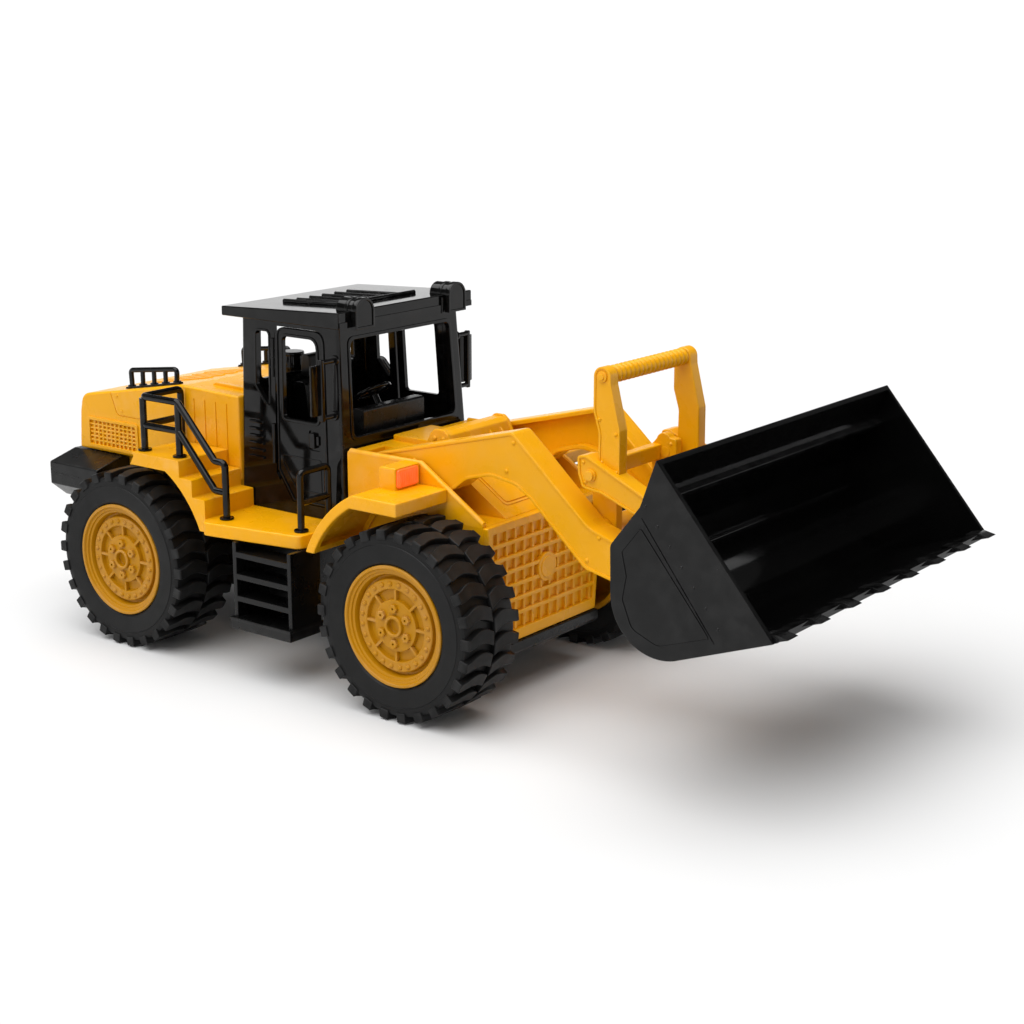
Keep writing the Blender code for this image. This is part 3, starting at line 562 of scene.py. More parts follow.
def build_hood():
    rear = [(-313.2, 104.2), (-311.2, 129.0)]
    rear += rounded([(-311.2, 129.0), (-308.6, 140.4), (-283.0, 144.8)], [0, 9, 0], 8)[1:]
    rear += [(-212.0, 157.2), (-200.0, 157.2), (-200.0, 104.2)]
    front = [(-209.3, 104.2), (-209.3, 157.6), (-161.8, 156.2), (-161.8, 104.2)]
    shapes = [along_y(rear, -56, 56, 1.6, 4), along_y(front, -59, 59, 1.4, 3),
              block(-300.4, -161.8, -50, 50, 90.4, 105.5, 0.6)]
    seam = ribbon([(-281.6, 146.5), (-275.6, 131.6), (-273.4, 130.2), (-209, 130.2)], 0.7)
    ridge = [(-199.0, 156.9), (-195.0, 158.9), (-170.0, 158.2), (-167.0, 156.0)]
    grid_outer = box_outline(-304.0, -255.8, 106.2, 126.4, 2.4)
    grid_inner = box_outline(-301.7, -258.1, 108.5, 124.1, 1.0)
    cuts, details = [], []
    for side in (-1, 1):
        cuts.append(flank(side, box_outline(-301.6, -258.2, 108.4, 124.2, 1.0), 55.0, 58))
        cuts.append(flank(side, seam, 55.5, 58))
        for x in (-200.0, -190.6, -181.2, -171.8):
            cuts.append(flank(side, box_outline(x - 0.5, x + 0.5, 108, 150.5, 0.45), 58.5, 61))
        details.append(band(grid_outer, grid_inner, *sided(side, 55.6, 56.9), 0.3))
        for x in (-301.6 + 43.4 * i / 11 for i in range(1, 11)):
            details.append(block(x - 0.75, x + 0.75, *sided(side, 54.6, 56.3), 107.6, 125.0, 0.25, 1))
        for z in (108.4 + 15.8 * i / 6 for i in range(1, 6)):
            details.append(block(-302.4, -257.4, *sided(side, 54.6, 56.2), z - 0.6, z + 0.6, 0.25, 1))
        for x, z in ((-274.6, 142.6), (-270.4, 133.4), (-216.0, 153.0), (-216.0, 133.4)):
            details.append(dome((x, side * 56, z), (0, side, 0), 0.95, 0.55, 10))
        details.append(flank(side, ridge, 41.5, 45.0, 0.4))
    line = [(x, hood_z(x) + rise) for x, rise in ((-276, -0.6), (-222, -0.6), (-223.5, 0.9), (-274.5, 0.9))]
    for y in (-22.0, -11.0, 0.0, 11.0, 22.0):
        details.append(along_y(line, y - 1.6, y + 1.6, 0.35))
    outer, inner = box_outline(-46.0, 46.0, 106.5, 127.0, 3.0), box_outline(-43.6, 43.6, 108.9, 124.6, 1.2)
    details.append(band(outer, inner, -310.5, -313.8, 0.3, lambda y, z, x: (x - 0.08 * (129 - z), y, z)))
    for z in (109.7 + 14.1 * i / 6 for i in range(1, 6)):
        details.append(block(-313.6, -311.6, -42, 42, z - 0.8, z + 0.8, 0.3, 1))
    for y in (-42 + 84 * i / 12 for i in range(1, 12)):
        details.append(block(-313.3, -311.2, y - 0.8, y + 0.8, 109.2, 124.4, 0.3, 1))
    piece("engine_cover", "yellow", shapes, nodes=["engine_hood"], cuts=cuts, details=details)


def build_side_deck(side):
    steps = [(-214.8, 122.6), (-172.0, 122.6), (-172.0, 112.2), (-161.5, 112.2), (-161.5, 101.6),
             (-151.0, 101.6), (-151.0, 82.2)]
    arch = arc((REAR_X, AXLE_Z), 69.5, 22.9, 59.0, 14)
    outline = rounded(steps, [1.2, 0.9, 0.6, 0.9, 0.6, 0.9, 0], 3) + arch + [(-214.8, 114.6)]
    plan = rounded([(-156.8, 44.5), (-156.8, 99.9), (-151.0, 99.9), (-146.5, 106.0), (-79.4, 95.2),
                    (-77.2, 44.5)], [0, 0, 1.0, 3.5, 5.0, 0], 5)
    slab = along_z([(x, side * y) for x, y in plan], 82.2, 90.3, 0.9, 3)
    stairs = flank(side, outline, 59.4, 100.0, 0.7)
    piece("stair_deck", "yellow", [stairs, slab], nodes=["side_deck"], side=side)


def build_hood_rail(side):
    y = side * 50.0
    ends = [(-266.0, 0.3, -266), (-266.6, 11.8, -266), (-224.0, 9.6, -224), (-224.6, 0.3, -224)]
    details = [sweep(fillet([(x, y, hood_z(on) + rise) for x, rise, on in ends], 2.4), 1.65)]
    sole = ((-271.0, 0.1), (-220.2, 0.1), (-220.8, 1.5), (-270.4, 1.5))
    foot = flank(side, [(x, hood_z(x) + rise) for x, rise in sole], 48.3, 51.7, 0.4)
    for i in range(1, 4):
        x = -266.3 + 42.2 * i / 4
        details.append(rod_z(x, y, hood_z(x) + 0.5, hood_z(x) + 11.8 - 2.2 * i / 4, 1.5, 14))
    for x in (-266.3 + 42.2 * i / 4 for i in range(5)):
        details.append(rod_z(x, y, hood_z(x) + 0.9, hood_z(x) + 2.4, 2.6, 16, 0.4))
    piece("cover_rail", "black", [foot], details=details, nodes=["hood_rail"], side=side)


def build_counterweight():
    section = rounded([(-78, 98.0), (-57, 103.6), (57, 103.6), (78, 98.0), (78, 83.6), (66, 73.8),
                       (-66, 73.8), (-78, 83.6)], 1.2, 2)
    body = along_x(section, -318.0, -272.2, 1.0, 3)
    cuts = [block(-300.8, -260, -50.3, 50.3, 60, 120), through([(-271, 97), (-271, 60), (-287, 74)])]
    details = []
    for side in (-1, 1):
        details.append(block(-312, -290, *sided(side, 77.5, 78.3), 90.4, 91.2, 0.2, 1))
        lamp = box_outline(*sided(side, 62.0, 73.0), 86.0, 94.0, 1.5)
        details.append(along_x(lamp, -318.6, -317.4, 0.3))
    piece("tail_weight", "satin", [body], nodes=["counterweight"], cuts=cuts, details=details)


def build_rail(name, node, side, paths, radius, feet):
    """Bars along paths, each foot on a round flange; the first bar is the piece's own body."""
    shapes = [sweep(fillet(path, 3.4), radius) for path in paths]
    shapes += [rod_z(x, y, z, z + 1.3, 4.3, 24, 0.5) for x, y, z in feet]
    piece(name, "black", shapes[:1], details=shapes[1:], nodes=[node], side=side)


def build_rear_handrail(side):
    y, inner = side * 92.5, side * 61.8
    low, mid, top = 122.7, 138.4, 156.0
    main = [(-209, inner, low), (-209, inner, top), (-209, y, top), (-178.5, y, top), (-148.7, y, 124.3),
            (-140.4, y, 124.3), (-140.4, y, 90.5)]
    middle = [(-209, inner, mid), (-209, y, mid), (-178.5, y, mid), (-149.4, y, 106.4), (-140.4, y, 106.4)]
    posts = [[(-209, y, low), (-209, y, top - 1)], [(-178.5, y, low), (-178.5, y, top - 0.5)]]
    build_rail("stair_rail", "rear_handrail", side, [main, middle] + posts, 2.15,
               [(-209, y, low), (-178.5, y, low), (-140.4, y, DECK_TOP)])


def build_front_handrail(side):
    x, outer, inner = -86, side * 86.4, side * 63.2
    main = [(x, outer, 90.5), (x, outer, 125.2), (x, inner, 125.2), (x, inner, 90.5)]
    middle = [(x, outer, 107.4), (x, inner, 107.4)]
    build_rail("door_rail", "front_handrail", side, [main, middle], 2.1,
               [(x, outer, DECK_TOP), (x, inner, DECK_TOP)])


def build_ladder(side):
    x0, x1 = -124.5, -77.8
    shapes = [block(x0 - 1.0, x1 + 0.3, *sided(side, 79, 106.8), 29.6, 35.6, 0.8),
              block(x0 - 1.4, x1 + 0.5, *sided(side, 79, 107.2), 34.8, 36.8, 0.5),
              block(x0 + 1, x1 - 1, *sided(side, 79.5, 82), 36, 81.9)]
    for a, b in ((x0, x0 + 3.0), (x1 - 3.0, x1)):
        shapes.append(block(a, b, *sided(side, 80, 104.6), 36, 81.9, 0.5))
    for z in (46.2, 59.6, 72.8):
        shapes.append(block(x0 + 1, x1 - 1, *sided(side, 90, 104.6), z, z + 3.5, 0.5))
    piece("step_ladder", "satin", shapes, nodes=["ladder"], side=side)


# ---- cab

CAB_LOW, CAB_TOP, CAB_REAR = 90.4, 204.5, -161.0
CAB_HALF = 58.8


def taper(x, y, z):
    """The cab narrows towards its roof; its rear wall stays upright."""
    share = (z - CAB_LOW) / (CAB_TOP - CAB_LOW)
    return CAB_REAR + (x - CAB_REAR) * (1 - 0.0774 * share), y * (1 - 0.0765 * share), z


def door_outline(grow):
    x0, x1, z0, z1 = -131.0 - grow, -89.0 + grow, 98.0 - grow, 201.0 + grow
    if not grow:
        x0 = -130.1
    corners = [(x0, 116.0), (x0 + 12.5, z0), (x1, z0), (x1, z1), (x0, z1)]
    return rounded(corners, [2.2, 2.2, 2.6, 8.0 + grow, 6.0 + grow], 6)


def build_cab():
    plan = rounded([(-161, -58.8), (-77, -58.8), (-77, 58.8), (-161, 58.8)], 2.2, 4)
    inside = along_z(box_outline(-158.4, -79.6, -56.2, 56.2, 1.5), 80, 220)
    glass_line = box_outline(-48.5, 48.5, 139.5, 196.5, 4.5, 6)
    rear_window = along_x(box_outline(-44, 44, 165, 197, 3.5, 5), -170, -150)
    quarter = rounded([(-148, 197.2), (-148, 165), (-137.2, 152.5), (-137.2, 197.2)], [2.5, 2, 2, 2.5], 4)
    swing = [(-131.9, 201.4), (-131.9, 113.3), (-129.0, 109.0), (-126, 112), (-126, 201.4)]
    notch = [(-165, 85), (-153, 85), (-153, 90.4), (-161.5, 101.0), (-165, 101)]
    cuts = [inside, along_x(glass_line, -90, -60), rear_window, through(quarter),
            through(door_outline(0.45)), through(swing)]
    details = []
    for side in (-1, 1):
        cuts.append(flank(side, notch, CAB_HALF - 1.0, 70))
        details.append(rim_band(inset(quarter, -1.5), 1.4, *sided(side, 58.3, 59.4), 0.25))
        for i in range(6):
            z = 120.0 + 4.3 * i
            louvre = box_outline(-154.5 + 0.5 * (i % 2), -141.6, z, z + 1.7, 0.8)
            details.append(flank(side, louvre, 58.2, 60.1, 0.4))
        x, y = -133.1, side * (CAB_HALF + 0.5)
        for z0, z1 in ((119, 143), (171, 194)):
            details.append(rod_z(x, y, z0, z1, 1.25, 14, 0.3))
            for z in (z0 + 6, (z0 + z1) / 2, z1 - 6):
                details.append(rod_z(x, y, z - 0.4, z + 0.4, 1.5, 14))
    details.append(band(box_outline(-50.6, 50.6, 137.4, 198.6, 5.5, 6), glass_line, -77.4, -76.3, 0.3, on_x))
    piece("cab_frame", "black", [along_z(plan, 90.6, 204.4)], nodes=["cab_shell"], cuts=cuts,
          details=details, bend=taper)


def build_door(side):
    outline = door_outline(0)
    outer = CAB_HALF
    panel = flank(side, outline, outer - 2.4, outer, 0.3)
    window = rounded([(-124.5, 147.3), (-96, 147.3), (-96, 195.8), (-124.5, 195.8)], [2.5, 2.5, 6, 3], 5)
    lower = [(-126.5, 120.0), (-115.5, 105.0), (-94.5, 105.0), (-94.5, 125.5), (-126.5, 125.5)]
    recess = box_outline(-104.2, -94.4, 130.5, 142.5, 2.0)
    handle = box_outline(-103.0, -98.6, 132.0, 141.2, 1.2)
    latch = box_outline(-97.8, -95.8, 134.0, 139.5, 0.9)
    cuts = [through(window), flank(side, recess, outer - 0.9, outer + 5)]
    face = sided(side, outer - 0.3, outer + 0.75)
    details = [rim_band(inset(outline, 0.2), 1.2, *face), rim_band(inset(window, -1.8), 1.7, *face),
               flank(side, handle, outer - 1.2, outer + 1.4, 0.5),
               flank(side, latch, outer - 1.2, outer + 0.5, 0.3),
               rim_band(rounded(lower, 1.6, 3), 0.9, *sided(side, outer - 0.3, outer + 0.35), 0.15)]
    piece("cab_door", "black", [panel], body=mirror_name("door", side), nodes=["door"], cuts=cuts,
          details=details, bend=taper, side=side)


def build_roof():
    outline = [(-171.3, 204.9), (-77.2, 204.9), (-77.2, 214.6), (-171.3, 210.6)]

    def bar(ends, rise, radius):
        return sweep([(x, y, 210.6 + 4.0 * (x + 171.3) / 94.1 + rise) for x, y in ends], radius)

    details = [bar([(-146, -33), (-100, -33)], 0.7, 1.5), bar([(-100, -33), (-100, 33)], 0.7, 1.5)]
    for y in (-21.5 + 11.2 * i for i in range(5)):
        details.append(bar([(-146, y), (-105, y)], 0.4, 1.15))
    lip = [(-76.9, 205.2), (-76.4, 205.2), (-76.4, 208.6), (-76.9, 208.6)]
    details.append(along_y(lip, -60, 60))
    piece("roof_panel", "black", [along_y(outline, -61, 61, 0.8, 3)], nodes=["cab_roof"],
          details=details)


def build_roof_lamp(side):
    middle = side * 42.2
    arch = [(middle - 8.2, 203.8), (middle + 8.2, 203.8)] + arc((middle, 213.6), 8.2, 0, 180, 20)
    details = [rod((-89.5, middle, 213.8), (-76.6, middle, 213.8), 7.3, 40, 0.7),
               rod((-82.6, middle, 213.8), (-80.2, middle, 213.8), 7.8, 40, 0.4),
               block(-88.8, -77.0, *sided(side, 42.2 - 7.3, 42.2 + 7.3), 209.0, 214.5, 0.4),
               band(arch, inset(arch, 1.5), -74.2, -73.0, 0.3, on_x),
               block(-77.1, -75.9, *sided(side, 30.5, 33.0), 203.6, 213.2, 0.4)]
    piece("lamp_pod", "black", [along_x(arch, -76.9, -73.6, 0.5)], nodes=["roof_lamp"],
          details=details, smooth=30, side=side)


def build_mirror(side):
    plan = [(-88.7, 61.4), (-87.3, 61.2), (-86.4, 64.0), (-86.1, 67.5), (-86.4, 71.0), (-87.3, 73.8),
            (-88.7, 73.6)]
    outline = [(x, side * y) for x, y in plan][::side]
    details = [block(-87.0, -84.0, *sided(side, 65.5, 68.3), 151.6, 187.8, 0.7, 3)]
    x = -85.4

    def wall(z):
        return side * (58.7 - 0.0394 * (z - CAB_LOW))

    for z in (153.6, 186.0):
        details.append(sweep([(x, wall(z), z), (x, side * 66.9, z)], 1.45))
        details.append(rod((x, wall(z) - side * 0.4, z), (x, wall(z) + side * 1.6, z), 2.9, 20, 0.5))
    bow = [(x, wall(155), 155), (-85.8, wall(170) - side * 0.3, 170), (x, wall(185), 185)]
    details.append(sweep(bow, 1.0))
    piece("wing_mirror", "black", [along_z(outline, 155.2, 184.4, 0.4, 2)], nodes=["mirror"],
          details=details, side=side)


def build_seat():
    back = rounded([(-150, 112), (-142.5, 126), (-147.2, 160), (-157.4, 160), (-154.6, 118)], 3.0, 5)
    base = rounded([(-150, 112), (-118, 114), (-116.5, 122), (-119, 131), (-143, 129)], 3.5, 5)
    head = rounded([(-148.0, 162.5), (-149.0, 176.2), (-155.8, 176.2), (-156.6, 162.5)], 2.5, 4)
    details = [along_y(head, -9.5, 9.5, 1.8, 4), block(-149, -123, -9, 9, 90.4, 114, 0.8)]
    details += [rod_z(-152.4, y, 158, 164, 0.9) for y in (-5, 5)]
    piece("driver_seat", "satin", [along_y(base, -17, 17, 2.2, 4), along_y(back, -16, 16, 2.2, 4)],
          nodes=["seat"], details=details)


def build_dashboard():
    outline = rounded([(-98, 90.6), (-88.5, 90.6), (-88.5, 152), (-96, 152), (-101, 146), (-98, 140)],
                      [0, 0, 1.5, 1.5, 1.5, 1.5], 3)
    details = [rod((-98.2, y, 148.6), (-99.3, y, 149.8), 2.6, 20, 0.3) for y in (-17, 0, 17)]
    piece("dash_panel", "satin", [along_y(outline, -28, 28, 0.8)], nodes=["dashboard"],
          details=details)


def build_steering():
    ring_radius, tube_radius = 11.0, 1.25
    turn = Matrix.Translation((-106, 0, 157)) @ Matrix.Rotation(radians(-30), 4, "Y")
    rings = []
    for a in turns(48):
        ring = []
        for b in turns(12):
            radius = ring_radius + tube_radius * cos(b)
            ring.append((radius * cos(a), radius * sin(a), tube_radius * sin(b)))
        rings.append(ring)
    details = [rod_z(0, 0, -8.6, 1.2, 2.4, 20, 0.4), rod_z(0, 0, -0.8, 1.6, 3.6, 24, 0.5)]
    for a in turns(3):
        details.append(rod((0, 0, 0), (10.8 * cos(a), 10.8 * sin(a), 0), 1.15, 10))
    piece("steering_ring", "black", [moved(loft(rings, loop=True), turn)],
          body="steering_wheel", nodes=["steering_wheel"], details=[moved(bm, turn) for bm in details])


def build_air_cleaner():
    bands = ((172.4, 175.0, 7.2, 0.8), (156.9, 158.4, 7.1, 0.4), (164.6, 166.4, 6.8, 0.4))
    piece("air_drum", "black", [rod_z(-172, 0, 156.9, 173, 6.4, 40, 0.3)], nodes=["air_cleaner"],
          details=[rod_z(-172, 0, z0, z1, radius, 40, edge) for z0, z1, radius, edge in bands])


# ---- front frame

def build_front_frame():
    section = [(-49, 32.2), (49, 32.2), (56.4, 103.9), (-56.4, 103.9)]
    shapes = [along_x(section, -76.6, 23.1, 0.6)]
    wall = rounded([(-76.6, 103), (23.1, 103), (23.1, 105.8), (-20.5, 134), (-76.6, 134)],
                   [0, 0, 0.8, 3.5, 2.0], 4)
    details = []
    for side in (-1, 1):
        shapes.append(flank(side, wall, 52.7, 56.4, 0.5))
        y = side * 54.6
        details.append(sweep([(-75, y, 133.6), (-21.8, y, 133.6), (22.4, y, 105.2)], 1.9, 12))
        details.append(rod_y((0, AXLE_Z), side * 46, side * 62.6, 9.0, 32, 0.5))
    core = rounded([(-76.6, 103), (21.8, 103), (21.8, 104.2), (-24.0, 134), (-76.6, 134)],
                   [0, 0, 0.5, 1.5, 1.0], 3)
    shapes += [along_y(core, -33.3, 33.3, 0.7), block(-76.6, -67.7, -56.3, 56.3, 103, 134, 0.8)]
    slope = Vector((45.8, 0, -29.8)).normalized()
    tilt = Matrix(((slope.x, 0, -slope.z, -1.0), (0, 1, 0, 0), (slope.z, 0, slope.x, 119.15), (0, 0, 0, 1)))
    details.append(moved(along_z(box_outline(-15, 17, -22, 22, 3.0, 5), -1.0, 0.55, 0.3), tilt))
    details.append(moved(band(box_outline(-17, 19, -24.5, 24.5, 3.5, 5),
                              box_outline(-15.8, 17.8, -23.2, 23.2, 3.0, 5), -0.5, 0.35, 0, on_z), tilt))
    details.append(along_z(box_outline(-75, -46, -18, 18, 2.0), 133, 137.2, 0.8))
    tower = rounded([(-38, 133), (-20, 133), (-23, 145), (-26, 147), (-33, 147), (-35.5, 145)],
                    [0, 0, 2, 2, 2, 2], 4)
    cheek = rounded([(-42, 133), (-17, 133), (-23.5, 145.6), (-26.5, 148), (-33, 148), (-36, 145.6)],
                    [0, 0, 2, 2.5, 2.5, 2], 4)
    gussets = ([(-22, 134), (-14.5, 134), (-22.8, 143)], [(-36.5, 134), (-43.5, 134), (-35.8, 143)])
    details.append(along_y(tower, -27.5, 27.5, 0.8))
    for side in (-1, 1):
        details.append(flank(side, cheek, 26.6, 29.4, 0.6))
        for x in (-32.8, -26.4):
            details.append(dome((x, side * 29.4, 142.6), (0, side, 0), 1.5, 0.9, 12))
        for y in (9, 19):
            details += [flank(side, gusset, y - 0.7, y + 0.7, 0.2, 1) for gusset in gussets]
    piece("front_body", "yellow", shapes, nodes=["front_frame"], details=details)


def build_grille():
    section = rounded([(-48.6, 32.2), (48.6, 32.2), (55.9, 103.6), (-55.9, 103.6)], 1.0, 2)
    window = rounded([(-46.3, 38.7), (46.3, 38.7), (51.3, 98.9), (-51.3, 98.9)], 1.0, 2)
    details = [band(section, window, 23.0, 26.6, 0.5, on_x)]
    for z in (47.9 + 8.64 * i for i in range(6)):
        half = 47.0 + 0.083 * (z - 38.7)
        details.append(block(23.1, 26.2, -half, half, z - 1.2, z + 1.2, 0.45))
    for y in (8.15 * (i - 5.5) for i in range(12)):
        details.append(block(23.1, 25.3, y - 1.05, y + 1.05, 37.5, 100.1, 0.35))
    details += [rod((x0, 0, 69.5), (x1, 0, 69.5), radius, 48, 0.5)
                for x0, x1, radius in ((23.1, 26.8, 8.6), (26.0, 27.4, 6.4))]
    piece("grille_panel", "yellow", [along_x(section, 22.2, 23.5, 0.2)], nodes=["front_grille"],
          details=details)


def build_front_bumper():
    section = rounded([(21.8, 24.5), (27.6, 24.5), (28.8, 26.6), (28.3, 31.8), (21.8, 31.8)],
                      [0, 1.0, 1.2, 1.0, 0], 3)
    piece("bumper_bar", "satin", [along_y(section, -49, 49, 0.7)], nodes=["front_bumper"])


def build_fender(side):
    hub = (0, AXLE_Z)
    outline = [(-1.5, 122.6), (-1.5, 114.6)]
    outline += arc(hub, 69.6, 121.0, 155.3, 16) + arc(hub, 75.5, 157.3, 116.4, 18)
    hollow = [(-6.0, 119.4), (-6.0, 112)] + arc(hub, 66.0, 118, 152, 8) + arc(hub, 72.6, 152, 119, 10)
    lamp_box = rounded([(-33.5, 121.5), (-21.2, 121.5), (-21.2, 135.2), (-33.5, 135.2)], [0, 0, 1.2, 2.5], 4)
    socket = box_outline(*sided(side, 59.0, 77.2), 123.4, 134.4, 1.8)
    shapes = [flank(side, outline, 56.6, 101.0, 0.9, 3), flank(side, lamp_box, 56.7, 78.2, 1.4, 3)]
    piece("wheel_arch", "yellow", shapes, nodes=["fender"],
          cuts=[flank(side, hollow, 58.2, 97.4), along_x(socket, -21.9, -15)], side=side)


def build_lens(side):
    lens = along_x(box_outline(*sided(side, 59.3, 76.9), 123.7, 134.1, 1.7), -22.0, -19.9, 0.7, 3)
    details = [rod_z(-19.95, side * (60.6 + 1.5 * i), 124.8, 133.0, 0.55, 8) for i in range(11)]
    piece("signal_lens", "lens", [lens], nodes=["lamp_lens"], details=details, side=side)


# ---- boom and linkage

BOOM_PIVOT = (-52.0, 122.0)
BUCKET_PIVOT = (140.0, 93.0)
LINK_PIN = (140.0, 124.0)
ROCKER_TOP = (88.6, 141.0)
ROCKER_PIVOT = (88.6, 110.0)
GRIP_SCREW = (92.8, 194.4)


def arm_outline():
    rear = arc(BOOM_PIVOT, 14.0, 262, 95, 14)
    top = rounded([(-40.3, 135.6), (39.5, 159.4), (56, 145.2), (73.4, 129.6), (92, 113.8), (107, 109.3),
                   (131, 102.9)], [0, 4.5, 20, 20, 14, 14, 0], 6)
    tip = arc(BUCKET_PIVOT, 9.0, 75, -105, 12)
    below = rounded([(106, 86.9), (88.5, 90.7), (52.3, 123.3), (42.5, 129.6), (24.6, 132.6), (7.5, 128.0),
                     (-2.0, 120.6), (-22.0, 113.4)], [0, 8, 12, 12, 16, 12, 10, 0], 5)
    return rear + top[1:] + tip + below


def build_boom_arm(side):
    outline = arm_outline()
    body = flank(side, outline, 34.6, 50.9, 0.9, 3)
    pocket = flank(side, inset(outline, 2.6), 30, 40.5)
    details = [rim_band(outline, 1.9, *sided(side, 50.0, 51.5), 0.5)]
    for x, z in ((40.6, 153.4), (35.6, 137.0), (97.6, 109.4), (89.8, 95.6), (-30.0, 134.0)):
        details.append(dome((x, side * 50.9, z), (0, side, 0), 1.35, 0.85, 14))
    details.append(rod_y(BOOM_PIVOT, side * 49.5, side * 52.2, 5.5, 32, 0.6))
    details.append(rod_y(BUCKET_PIVOT, side * 34.6, side * 51.5, 8.7, 40, 0.5))
    piece("lift_arm", "yellow", [body], body="boom", nodes=["boom_arm"], cuts=[pocket], details=details,
          side=side)


def build_boom_cross():
    piece("cross_tube", "yellow", [rod_y(ROCKER_PIVOT, -34.4, 34.4, 5.0, 40)],
          body="boom", nodes=["boom_cross_tube"])
    plate = rounded([(104, 90), (124, 85.5), (126, 95), (105, 100)], 1.5, 4)
    piece("cross_plate", "yellow", [along_y(plate, -34.4, 34.4, 0.8)], body="boom",
          nodes=["boom_cross_plate"])


def build_rocker():
    cheek = arc(ROCKER_PIVOT, 7.6, 180, 360, 14)
    cheek += rounded([(96.2, 110.0), (95.6, 149.0), (91.4, 149.4)], [0, 1.5, 0], 4)[1:]
    cheek += arc((87.3, 146.8), 5.0, 55, 165, 8)
    cheek += rounded([(82.0, 146.4), (79.4, 145.2), (79.4, 135.5), (81.0, 110.0)], [0, 1.5, 4, 0], 4)[1:-1]
    beam = rounded([(79.4, 136.4), (85.8, 136.4), (85.8, 145.2), (79.4, 145.2)], 1.2, 4)
    shapes = [flank(side, cheek, 26.5, 32.5, 0.7, 3) for side in (-1, 1)] + [along_y(beam, -27, 27)]
    details = []
    for side in (-1, 1):
        for x, z, radius in ((88.6, 122.0, 1.2), (92.2, 146.0, 1.1)):
            details.append(dome((x, side * 26.6, z), (0, -side, 0), radius, 0.8, 12))
        details.append(rod_y(ROCKER_TOP, side * 26.0, side * 26.55, 3.0, 28, 0.2))
    cuts = [rod_y(ROCKER_PIVOT, -40, 40, 5.2, 40), rod_y(ROCKER_TOP, -40, 40, 2.2, 24)]
    piece("rocker_frame", "yellow", shapes, body="rocker", nodes=["rocker"], cuts=cuts, details=details)


def build_lever_arm(side):
    bar = rounded([(80.2, 147.0), (80.7, 141.3), (83.3, 134.0), (95.5, 132.4), (106.0, 128.4),
                   (126.0, 121.0)], [0, 4, 3.5, 8, 8, 0], 5)
    bar += arc(LINK_PIN, 8.0, 235, 465, 16)
    bar += rounded([(137.9, 131.7), (126.0, 133.3), (85.6, 152.0), (80.0, 151.2), (80.2, 147.0)],
                   [0, 6, 2.5, 3.0, 0], 6)[1:-1]
    leg = rounded([(90.6, 140.0), (91.0, 164.0), (87.4, 175.6), (87.4, 194.4)], [0, 10, 8, 0], 5)
    leg += arc(GRIP_SCREW, 5.4, 180, 0, 14)[1:]
    leg += rounded([(98.2, 194.4), (98.4, 190.5), (104.4, 166.5), (104.6, 138.0)], [0, 4, 3, 0], 4)[1:]
    shapes = [flank(side, bar, 35.3, 46.2, 0.8, 3), flank(side, leg, 35.3, 42.4, 0.9, 3)]
    details = [rim_band(bar, 1.5, *sided(side, 45.4, 47.0), 0.4),
               rim_band(leg, 1.4, *sided(side, 41.6, 43.0), 0.4)]
    for x, z, y in ((83.7, 148.0, 46.2), (85.3, 137.2, 46.2), (91.1, 171.4, 42.4), (101.7, 164.5, 42.4),
                    (92.8, 148.4, 42.4), (102.5, 144.1, 42.4)):
        details.append(dome((x, side * y, z), (0, side, 0), 1.2, 0.9, 14))
    link_cap = (ROCKER_TOP[0], ROCKER_TOP[1] + 0.4)
    for centre, y0, y1, radius, segments, edge in ((link_cap, 45.6, 47.5, 3.5, 36, 0.4),
                                                   (link_cap, 46.5, 48.8, 2.7, 36, 0.4),
                                                   (GRIP_SCREW, 42.0, 43.6, 3.0, 32, 0.4),
                                                   (GRIP_SCREW, 43.0, 44.5, 1.9, 6, 0.3)):
        details.append(rod_y(centre, side * y0, side * y1, radius, segments, edge))
    piece("lever_side", "yellow", shapes, body="lever", nodes=["lever_arm"], details=details, side=side)


def build_grip():
    """Ribbed bar between the two legs."""
    ribs, half, root = 17, 34.6, 4.5
    pitch = 2 * half / ribs
    profile = [(0, -half), (root, -half)]
    for start in (-half + pitch * i for i in range(ribs)):
        for share, radius in ((0.12, 4.05), (0.34, 4.05), (0.48, 4.7), (0.68, 4.9), (0.88, 4.7)):
            profile.append((radius, start + pitch * share))
    grip = turned(profile + [(root, half), (0, half)], (93.0, 0, 194.6), 1, 40)
    piece("ribbed_grip", "yellow", [grip], body="lever", nodes=["handle_grip"], smooth=50)


def build_lever_beam():
    beam = rounded([(117.5, 124.5), (122.5, 124.5), (122.5, 131.0), (117.5, 131.0)], 1.2, 3)
    piece("tie_beam", "yellow", [along_y(beam, -35.4, 35.4, 0.5)], body="lever", nodes=["lever_beam"])


# ---- bucket

HEEL = (181.0, 106.2)
EDGE = (243.0, 97.8)
FLOOR = (181.7, 77.4)  # where the curved heel runs into the bucket's flat floor
EDGE_RUN = Vector((EDGE[0] - FLOOR[0], EDGE[1] - FLOOR[1])).normalized()
EDGE_UP = Vector((-EDGE_RUN.y, EDGE_RUN.x))
BUCKET_HALF = 120.0


def bucket_outline(depth):
    """Side view of the bucket's skin, set in from its outer face by depth."""
    slope = atan2(EDGE[1] - FLOOR[1], EDGE[0] - FLOOR[0])
    heel = arc(HEEL, 29.0 - depth, 180, 270 + degrees(slope) * 0.9, 28)
    tip = (EDGE[0] - depth * sin(slope), EDGE[1] + depth * cos(slope))
    back = rounded([(177.0 + depth * 0.95, 175.5 - depth * 0.2), (168.3 + depth, 151.5),
                    (151.5 + depth, 130 - depth * 0.3), heel[0]], [0, 6, 5, 0], 5)[:-1]
    if depth:
        tip = (tip[0] + 20, tip[1] + 20 * tan(slope))
        back = [(177 + 12, 175.5 + 22)] + back
    return back + heel + [tip]


